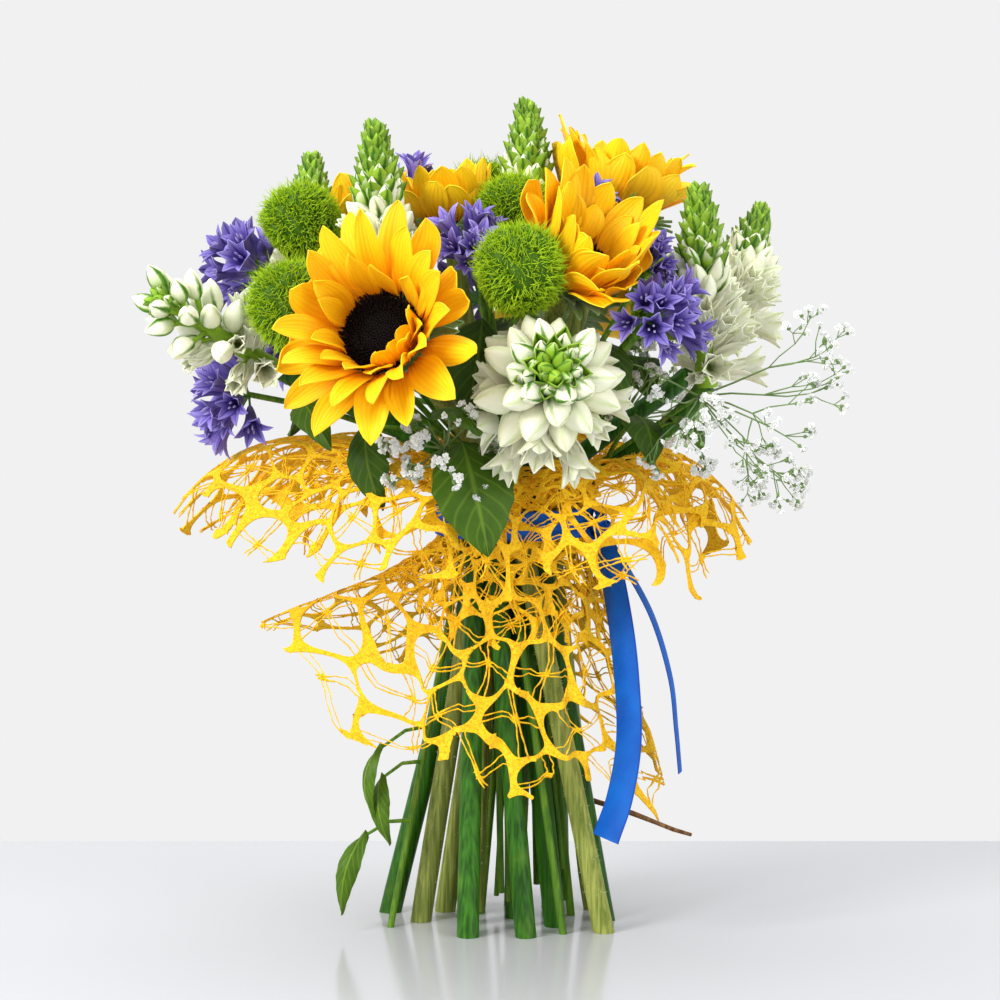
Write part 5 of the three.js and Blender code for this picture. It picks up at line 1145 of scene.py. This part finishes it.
# Each leaf: its stem and the height it leaves it, its base and tip, its width, the way its upper
# face looks, how pale it is, and how much it curls.
LEAVES = [
    ("sunflower_1", 236, (-26, -70, 248), (-13, -88, 194), 40, (0.1, -1, 0.1), 0.45, 0.3),
    ("sunflower_1", 240, (-72, -58, 257), (-64, -68, 214), 21, (-0.5, -1, 0), 0.1, 0.7),
    ("sunflower_1", 256, (-40, -80, 262), (-16, -98, 254), 19, (0.1, -0.6, 0.9), 0.5, 0.6),
    ("sunflower_5", 258, (-84, 74, 260), (-118, 92, 236), 31, (-0.5, 0.5, 0.7), 0.3, 0.4),
    ("sunflower_6", 256, (32, 92, 266), (46, 112, 226), 33, (0.1, 1, 0.1), 0.3, 0.4),
    ("white_spike_5", 240, (74, -46, 256), (90, -76, 244), 21, (0.4, -0.6, 0.6), 0.4, 0.5),
    ("blue_cluster_9", 50, (-74, -30, 50), (-86, -38, 9), 11, (-0.7, -1, 0.2), 1.0, 0.9),
    ("blue_cluster_9", 82, (-66, -25, 78), (-62, -38, 44), 10, (-0.6, -1, 0.2), 0.9, 0.8),
    ("green_ball_1", 262, (-104, -62, 268), (-88, -92, 246), 18, (-0.2, -0.8, 0.5), 0.2, 0.6),
    ("sunflower_2", 262, (6, -70, 270), (-6, -94, 252), 20, (0, -0.8, 0.6), 0.2, 0.5),
    ("sunflower_2", 300, (44, -36, 326), (58, -30, 366), 17, (0.2, -0.7, -0.5), 0.7, 0.4),
    ("green_ball_3", 276, (-16, -52, 306), (-24, -72, 258), 30, (0.1, -1, 0.3), 0.1, 0.5),
    ("sunflower_2", 270, (40, -46, 296), (48, -78, 262), 27, (0.2, -0.9, 0.4), 0.3, 0.5),
    ("white_spike_5", 228, (58, -42, 258), (66, -72, 236), 24, (0.3, -0.8, 0.6), 0.2, 0.6),
    ("sunflower_6", 270, (0, 62, 300), (-14, 94, 266), 28, (0, 1, 0.3), 0.3, 0.5),
    ("sunflower_5", 284, (-40, 60, 308), (-58, 90, 280), 26, (-0.3, 1, 0.4), 0.2, 0.5),
    ("blue_cluster_8", 262, (-18, 66, 276), (-8, 96, 246), 24, (0, 1, 0.4), 0.4, 0.4),
    ("green_ball_6", 262, (56, 62, 280), (70, 94, 256), 24, (0.4, 1, 0.4), 0.2, 0.5),
    ("blue_cluster_9", 256, (-84, 38, 272), (-110, 50, 248), 22, (-0.8, 0.5, 0.5), 0.3, 0.5),
    ("blue_cluster_9", 96, (-66, -30, 94), (-70, -38, 58), 9, (-1, -0.6, 0.2), 0.9, 0.6),
]


# A thin shoot that grows from a stem, with a stem's skin.
def side_shoot(name, rings, finish, tone):
    heap = Heap()
    heap.put(*tube(rings), tone=tone, cut=0.0, hair=0.0)
    heap.lay(name, finish, "sunflower_green")


blade_x, blade_t, blade_faces = flat_grid(14, 22)
blade_half = np.maximum(np.sin(math.pi * np.clip(blade_t, 0, 1) ** 0.8) ** 0.85, 0.015)
random = np.random.default_rng(71)
for number, (stem, height, base, tip, wide, face, pale, curl) in enumerate(LEAVES):
    base, tip, line = np.array(base, float), np.array(tip, float), lines[stem]
    face = unit(face)
    along = tip - base
    long = np.linalg.norm(along)
    side = unit(np.cross(along, face))
    normal = np.cross(side, along / long)
    steps = np.linspace(0, 1, 15)
    bow = 1 if long > 30 else 0.6
    spine = np.array([base + along * t + normal * (7 * math.sin(math.pi * t) * bow) for t in steps])
    half = wide / 2 * blade_half * (1 + 0.03 * np.sin(34 * blade_t))
    lift = curl * 3.0 * blade_x**2 - 0.8 * np.exp(-((blade_x / 0.12) ** 2))
    lift += 1.2 * blade_x**2 * np.sin(9 * blade_t + 3 * blade_x + number) * curl
    veins = np.cos(44 * blade_t - 13 * np.abs(blade_x)) * 0.5 + 0.5
    lift -= 0.5 * veins**6 * (np.abs(blade_x) > 0.05) * (wide > 10)
    twist = np.array([side + normal * 0.5 * curl * math.sin(2.2 * t) for t in steps])
    shape = carried(blade_x * half, blade_t, lift, spine, twist)
    piece(f"leaf_{number + 1}", shape, blade_faces, leaf_finish, "sunflower_green", (),
          {"reach": blade_t, "across": blade_x, "tone": np.full(len(blade_t), pale)}, thick=0.45)
    start = line[np.argmin(np.abs(line[:, 2] - height))]
    middle = start * 0.5 + base * 0.5 + (0, 0, 2)
    way = np.array([start, middle, base + along * 0.06, base + along * 0.3 + normal * 4])
    rings = stalk(way, np.array([1.5, 1.3, 1.1, 0.4]) * (0.6 + 0.012 * wide), 8)
    side_shoot(f"leaf_stalk_{number + 1}", rings, STEM_FINISH["thin"], 0.8)

line = lines["sunflower_2"]
start = line[np.argmin(np.abs(line[:, 2] - 60))]
path = np.array([start, (50, 2, 56), (60, -5, 53.8), (70, -12, 51), (79, -16, 48), (88, -20, 46)], float)
rings = stalk(path, np.array([1.5, 1.35, 1.45, 1.2, 1.15, 0.95]), 8)
side_shoot("dry_shoot", rings, shoot_finish, 0.5)

# ------------------------------------------------------------
# Binding twine: six turns of a two-ply natural cord, wound tight round the crossed stems and
# hidden under the net.
# ------------------------------------------------------------

TIE_Z, TWINE_TURNS, TWINE_HALF, PLY_R, PLY_OFFSET = 198, 6, 2.1, 0.42, 0.34
low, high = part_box("binding_twine")
twine_out = (high.x - low.x) * 500
twine_finish, tree, shader = finish_of("natural_twine", 0.9)
fibre = grained(tree, 900.0, 3.0)
colour = ramp(tree, fibre, [(0.3, (0.26, 0.16, 0.07)), (0.7, (0.56, 0.42, 0.22))])
dress(tree, shader, colour, fibre, 0.6, 0.0004)
heap = Heap()
for ply in (0, math.pi):
    turns = np.linspace(0, TWINE_TURNS * 2 * math.pi, 360)
    twist = turns * 9 + ply
    r = twine_out - 0.95 + PLY_OFFSET * np.cos(twist)
    z = TIE_Z - TWINE_HALF + 2 * TWINE_HALF * turns / turns[-1] + PLY_OFFSET * np.sin(twist)
    line = np.column_stack([r * np.cos(turns), r * np.sin(turns), z])
    heap.put(*tube(stalk(line, np.full(len(line), PLY_R), 6)))
heap.lay("twine_turns", twine_finish, "twine", ["binding_twine"])

# ------------------------------------------------------------
# Yellow net: a soft sheet of fused golden fibres, gathered at the tie. Its holes are round, small at
# the tie and widest at the edges, and two pairs of threads cross most of them at a knot.
# ------------------------------------------------------------

# Eight ways round the tie: the reach and height of the top edge, a height that the sheet swells
# toward below it, and the reach and height of the bottom edge.
NET_SHAPE = [
    ((120, 182), 262, (78, 54)),
    ((110, 200), 262, (74, 84)),
    ((106, 200), 266, (74, 98)),
    ((126, 198), 268, (88, 116)),
    ((172, 190), 280, (134, 146)),
    ((126, 182), 270, (76, 76)),
    ((76, 172), 258, (60, 70)),
    ((104, 172), 268, (62, 64)),
]
WAIST_ROOM = 1.47  # from the outside of the twine to the middle of the net
waist_r = twine_out + WAIST_ROOM


# Points of the gathered net: how far round, from 0 to 1, and v from 1, the top edge, past 0, the
# tie, to -1, the bottom edge. A second fold of each half lies inside the first.
def net_points(share, v, fold=0.0):
    angle = 2 * math.pi * share
    t, up = np.abs(v), v > 0
    place = share % 1 * 8
    k = np.floor(place).astype(int) % 8
    s = (1 - np.cos(math.pi * (place - np.floor(place)))) / 2
    table = np.array([(*top, swell, *low) for top, swell, low in NET_SHAPE], float)
    row = table[k] * (1 - s)[:, None] + table[(k + 1) % 8] * s[:, None]
    reach, height = np.where(up, row[:, 0], row[:, 3]), np.where(up, row[:, 1], row[:, 4])
    rise, swell = np.where(up, TIE_Z + 34, TIE_Z - 18), np.where(up, row[:, 2], TIE_Z + (height - TIE_Z) * 0.6)
    cubic = lambda a, b, c, d: a * (1 - t) ** 3 + 3 * b * t * (1 - t) ** 2 + 3 * c * t**2 * (1 - t) + d * t**3
    r = cubic(waist_r, waist_r + 1, waist_r + (reach - waist_r) * 0.6, reach)
    z = cubic(TIE_Z + 4, rise, swell, height)
    wave = np.sin(6 * angle + 0.6 + 2.6 * fold) * 0.7 + np.sin(11 * angle + 2.1 - fold + 2 * v) * 0.5
    wave = np.where(up, wave * 11, wave * 4) * t**1.6
    crumple = np.sin(17 * angle + 5 * v + 3 * fold) * 2.4 * t + np.sin(29 * angle - 4 * v) * (0.7 + 0.5 * t)
    crumple += 2.2 * np.sin(8 * v + 5 * angle + 2 * fold) * t * np.where(up, 1, 0.5)
    r = (r + 0.45 * wave + crumple) * (1 - 0.12 * fold * t)
    z = z + np.where(up, 0.8, 0.3) * wave - 0.6 * crumple * t + fold * t * 4 * np.sin(5 * angle + 4 * v)
    return np.column_stack([r * np.cos(angle), r * np.sin(angle), z])


net_finish, tree, shader = finish_of("net_fibre", 0.7, Specular_IOR_Level=0.25)
place = lay(tree, "TexCoord").outputs["Object"]
fused = {"Vector": place, "Scale": 700.0, "Detail": 4.0, "Distortion": 1.2}
fibre = lay(tree, "TexNoise", fused).outputs["Fac"]
cloud = grained(tree, 45.0)
colour = ramp(tree, fibre, [(0.32, (0.7, 0.33, 0.002)), (0.5, (1.0, 0.57, 0.005)), (0.68, (1.0, 0.68, 0.02))])
colour = tinged(tree, colour, cloud, (0.8, 0.76, 0.7), (1.1, 1.1, 1.2))
dress(tree, shader, colour, fibre, 0.7, 0.0005)

SQUASH = 0.866  # a row of holes is this high over a hole's width
THREAD_REACH = 0.62  # how far a thread may run from the middle of its hole
SHARPNESS = 13  # how tight the corners of a hole are


# One fold of the sheet, its web and the threads across its holes: so many holes round, so many rows
# of them, between two places along the sheet, half a band's width, and so many points across a hole.
# Holes are closer together where the sheet reaches out farthest.
class Fold:
    def __init__(self, seed, columns, rows, first, last, band, fine, fold=0.0):
        self.random = np.random.default_rng(seed)
        self.columns, self.rows, self.first, self.last = columns, rows, first, last
        self.band, self.fine, self.fold = band, fine, fold
        r, c = np.meshgrid(np.arange(-1, rows + 1), np.arange(columns), indexing="ij")
        spots = np.stack([c + (r % 2) * 0.5, r.astype(float)], 2)
        self.spots = spots + self.random.uniform(-0.13, 0.13, (*r.shape, 2))
        self.edge = self.random.uniform(0, 6, 3)

    def to_room(self, x, y):
        turn = 2 * math.pi * x / self.columns
        dx = 0.1 * np.sin(3 * turn + 2.1 * y) + 0.07 * np.sin(8 * turn - 3.3 * y)
        dy = 0.1 * np.sin(5 * turn + 1.3 * y + 1) + 0.07 * np.sin(9 * turn + 4 * y)
        v = self.first + (self.last - self.first) * (y + dy + 0.6) / (self.rows + 0.2)
        share = (x + dx) / self.columns
        share += 0.075 * np.sin(2 * math.pi * share + 0.5)
        return net_points(share, np.clip(v, -1.02, 1.02), self.fold)

    # How far a flat point is from the ragged edge that lies away from the tie.
    def from_edge(self, x, y):
        turn = 2 * math.pi * x / self.columns
        cut = 0.12 * sum(np.sin(k * turn + p) for k, p in zip((self.columns // 2, 7, 13), self.edge)) - 0.25
        return (y if self.last > 0 else self.rows - 1 - y) - cut

    # How far a flat point is from the smoothed border between its hole and the next ones.
    def border(self, x, y):
        row, offsets = np.rint(y).astype(int), []
        for down in (-1, 0, 1):
            column = np.rint(x - 0.5 * ((row + down) % 2)).astype(int)
            for aside in (-1, 0, 1):
                spot = self.spots[np.clip(row + down, -1, self.rows) + 1, (column + aside) % self.columns]
                dx = (x - spot[:, 0] + self.columns / 2) % self.columns - self.columns / 2
                offsets.append(np.stack([dx, (y - spot[:, 1]) * SQUASH], 1))
        offsets = np.stack(offsets)
        square = (offsets**2).sum(2)
        first = square.argmin(0)
        pick = np.arange(len(x))
        apart = np.linalg.norm(offsets - offsets[first, pick], axis=2)
        gap = np.where(apart > 0.1, (square - square[first, pick]) / np.maximum(2 * apart, 0.1), 9)
        return -np.log(np.exp(-SHARPNESS * gap).sum(0)) / SHARPNESS

    def web(self, x, y):
        turn = 2 * math.pi * x / self.columns
        band = self.band * (1 + 0.25 * np.sin(5 * turn + 2 * y) + 0.2 * np.sin(17 * turn - 3 * y))
        return np.minimum(band - self.border(x, y), self.from_edge(x, y) * SQUASH)

    # Lays the web and gives its area in square metres.
    def sheet(self, heap):
        fine = self.fine
        across, down = self.columns * fine, int((self.rows + 0.2) * SQUASH * fine)
        low, high = -0.6, self.rows - 0.4
        x, y = np.meshgrid(np.arange(across) / fine, low + (high - low) * np.arange(down + 1) / down)
        x, y, step = x.ravel(), y.ravel(), 0.5 / fine
        inside = self.web(x, y)
        slope_x = (self.web(x + step, y) - self.web(x - step, y)) / (2 * step)
        slope_y = (self.web(x, y + step) - self.web(x, y - step)) / (2 * step) / SQUASH
        moved = np.where(np.abs(inside) < 0.62 / fine, inside, 0) / np.maximum(slope_x**2 + slope_y**2, 0.3)
        x_new, y_new = x - moved * slope_x, y - moved * slope_y / SQUASH
        i, j = (grid.ravel() for grid in np.meshgrid(np.arange(across), np.arange(down)))
        right = (i + 1) % across
        near, far = j * across, (j + 1) * across
        quads = np.column_stack([near + i, near + right, far + right, far + i])
        quads = quads[self.web((i + 0.5) / fine, low + (high - low) * (j + 0.5) / down) > 0]
        used, numbers = np.unique(quads, return_inverse=True)
        numbers = numbers.reshape(-1, 4)
        points = self.to_room(x_new[used], y_new[used])
        if self.last < 0:
            numbers = numbers[:, ::-1]
        heap.put(points, numbers.tolist())
        corners = points[numbers]
        doubled = np.cross(corners[:, 2] - corners[:, 0], corners[:, 3] - corners[:, 1])
        return float(np.linalg.norm(doubled, axis=1).sum()) * 5e-7

    # Two pairs of beaded threads cross a hole and are knotted where they meet.
    def threads(self, heap):
        for x, y in self.spots[1:-1].reshape(-1, 2):
            turn = self.random.uniform(0, math.pi)
            for angle in (turn, turn + 1.45 + self.random.normal(0, 0.1)):
                c, s = math.cos(angle), math.sin(angle)
                reach = np.linspace(-THREAD_REACH, THREAD_REACH, 32)
                fits = self.border(x + reach * c, y + reach * s / SQUASH) > 0.4 * self.band
                fits &= self.from_edge(x + reach * c, y + reach * s / SQUASH) > 0.1
                bad = reach[~fits]
                low, high = max([-THREAD_REACH, *bad[bad < 0]]), min([THREAD_REACH, *bad[bad > 0]])
                if high - low < 0.3:
                    continue
                along = np.linspace(low, high, 11)
                for sign in (-1, 1):
                    gap = sign * (0.02 + 0.08 * np.abs(along)) + 0.008 * np.sin(along * 30 + turn)
                    line = self.to_room(x + along * c - gap * s, y + (along * s + gap * c) / SQUASH)
                    r = 0.34 * np.where(np.arange(11) % 2, 1.3, 0.8) + 0.5 * np.exp(-((along / 0.06) ** 2))
                    heap.put(*tube(stalk(line, r * self.random.uniform(0.85, 1.15), 4)))


# The outer collar and skirt, then the inner ones.
FOLDS = [(9, 31, 9, 1.0, 0.02, 0.045, 19), (11, 15, 6, -0.02, -1.0, 0.034, 24),
         (10, 26, 8, 0.98, 0.05, 0.048, 19, 1.0), (12, 17, 4, -0.02, -0.55, 0.048, 20, 1.0)]
heaps, thread_heaps, net_area = (Heap(), Heap()), (Heap(), Heap()), 0
for number, habit in enumerate(FOLDS):
    fold = Fold(*habit)
    net_area += fold.sheet(heaps[number // 2])
    fold.threads(thread_heaps[number // 2])
net = heaps[0].lay("net_web", net_finish, "net_yellow", ["yellow_net"], thick=0.8, angle=70)
inner = heaps[1].lay("net_folds", net_finish, "net_yellow", thick=0.8, angle=70)
names = ("net_threads", "net_fold_threads")
threads = [heap.lay(name, net_finish, "net_yellow") for heap, name in zip(thread_heaps, names)]

# ------------------------------------------------------------
# Blue ribbon: one length of satin, tied round the gathered net in a band and a small knot, with a
# broad tail that hangs in front of the stems and a narrower one that curls away behind it.
# ------------------------------------------------------------

RIBBON_WIDE, BAND_WIDE, SECOND_WIDE, BAND_Z, KNOT_ANGLE = 18, 14.5, 12.6, 203, -0.34
NET_HALF, BAND_ROOM, GAP = 0.75, 2.4, 0.32  # the steps from the net's middle out to the band
band_r = (waist_r + NET_HALF + BAND_ROOM + GAP) / math.cos(math.pi / 16)

ribbon_finish, tree, shader = finish_of("satin_ribbon", 0.5, Specular_IOR_Level=0.2)
across, reach = own(tree, "across"), own(tree, "reach")
weft = reckon(tree, "SINE", reckon(tree, "MULTIPLY", reach, 9.0), 0.0)
cloud = grained(tree, 60.0)
colour = ramp(tree, cloud, [(0.3, (0.0, 0.075, 0.4)), (0.7, (0.001, 0.115, 0.5))])
edge = grey_ramp(tree, reckon(tree, "ABSOLUTE", across), [(0.9, 0), (0.94, 1)])
colour = mix(tree, edge, colour, (0.0, 0.055, 0.38))
dress(tree, shader, colour, reckon(tree, "ADD", weft, edge), 0.18, 0.0002)


# Points of a smooth curve through the given ones.
def smooth_line(points, steps):
    points = np.array(points, float)
    ends = np.vstack([2 * points[0] - points[1], points, 2 * points[-1] - points[-2]])
    rows = []
    for t in np.linspace(0, len(points) - 1 - 1e-6, steps):
        k, s = int(t), t - int(t)
        a, b, c, d = ends[k:k + 4]
        bend, twist = 2 * a - 5 * b + 4 * c - d, 3 * b - a - 3 * c + d
        rows.append(0.5 * (2 * b + (c - a) * s + bend * s**2 + twist * s**3))
    return np.array(rows)


ribbon_heap, strip_longs = Heap(), []


# A stretch of the ribbon along a path, with the way across it at each point of the path.
def ribbon_strip(path, sides, wide, bow, steps, across_steps=8):
    line = smooth_line(path, steps)
    side = smooth_line(sides, steps)
    x, t = np.meshgrid(np.linspace(-1, 1, across_steps + 1), np.linspace(0, 1, steps))
    x, t = x.ravel(), t.ravel()
    width = wide(t) if callable(wide) else wide
    points = carried(x * width / 2, t, bow(x, t), line, side)
    long = np.linalg.norm(np.diff(line, axis=0), axis=1).sum()
    ribbon_heap.put(points, walls(steps, across_steps + 1, round_it=False), across=x, reach=t * long)
    strip_longs.append(long)


turn = np.linspace(0, 2 * math.pi, 25) + KNOT_ANGLE
ribbon_strip([(band_r * math.cos(a), band_r * math.sin(a), BAND_Z) for a in turn], [(0, 0, 1)] * 25,
             BAND_WIDE, lambda x, t: 0.9 * np.cos(7 * x + 3 * np.sin(11 * t)) - 0.6 * np.cos(31 * t), 150, 14)
knot = np.array([(band_r + 3.2) * math.cos(KNOT_ANGLE), (band_r + 3.2) * math.sin(KNOT_ANGLE), BAND_Z])
out, side = unit(knot * (1, 1, 0)), unit(np.cross((0, 0, 1), knot))
turn = np.linspace(0, 2 * math.pi, 13)
loop = [knot + out * 3.6 * math.cos(a) + np.array([0, 0, 1]) * 8.2 * math.sin(a) for a in turn]
ribbon_strip(loop, [side] * 13, 9, lambda x, t: 0.7 * np.cos(9 * x), 50)
loop = [knot + out * (2.5 + 2.2 * math.cos(a)) + side * 6 * math.sin(a) + (0, 0, 2.5 * math.sin(2 * a))
        for a in turn]
ribbon_strip(loop, [(0, 0, 1)] * 13, 8, lambda x, t: 0.6 * np.cos(8 * x + 1), 50)
tail = [knot + out, (46, -18, 186), (51, -30, 158), (54, -44, 128), (55, -54, 98), (51, -60, 72),
        (44, -62, 52)]
ribbon_strip(tail, [(1, -1.5 + i / 12, 0) for i in range(7)],
             lambda t: RIBBON_WIDE * np.minimum(1, 0.5 + 3 * t),
             lambda x, t: 1.3 * np.cos(2.2 * x) * (1 - 0.4 * t) + 0.5 * np.sin(9 * t), 90)
second = [knot + out + (0, 2, 0), (54, -14, 182), (68, -18, 156), (77, -20, 126), (80, -20, 100),
          (82, -18, 78)]
ribbon_strip(second, [(0.2 - 0.03 * i, 1, 0) for i in range(6)],
             lambda t: SECOND_WIDE * np.minimum(1, 0.5 + 3 * t),
             lambda x, t: 1.2 * np.cos(2.0 * x), 80)
ribbon = ribbon_heap.lay("ribbon_satin", ribbon_finish, "ribbon_blue", ["blue_ribbon"], thick=0.3, angle=70)
round(sum(strip_longs) / 1000, 2)
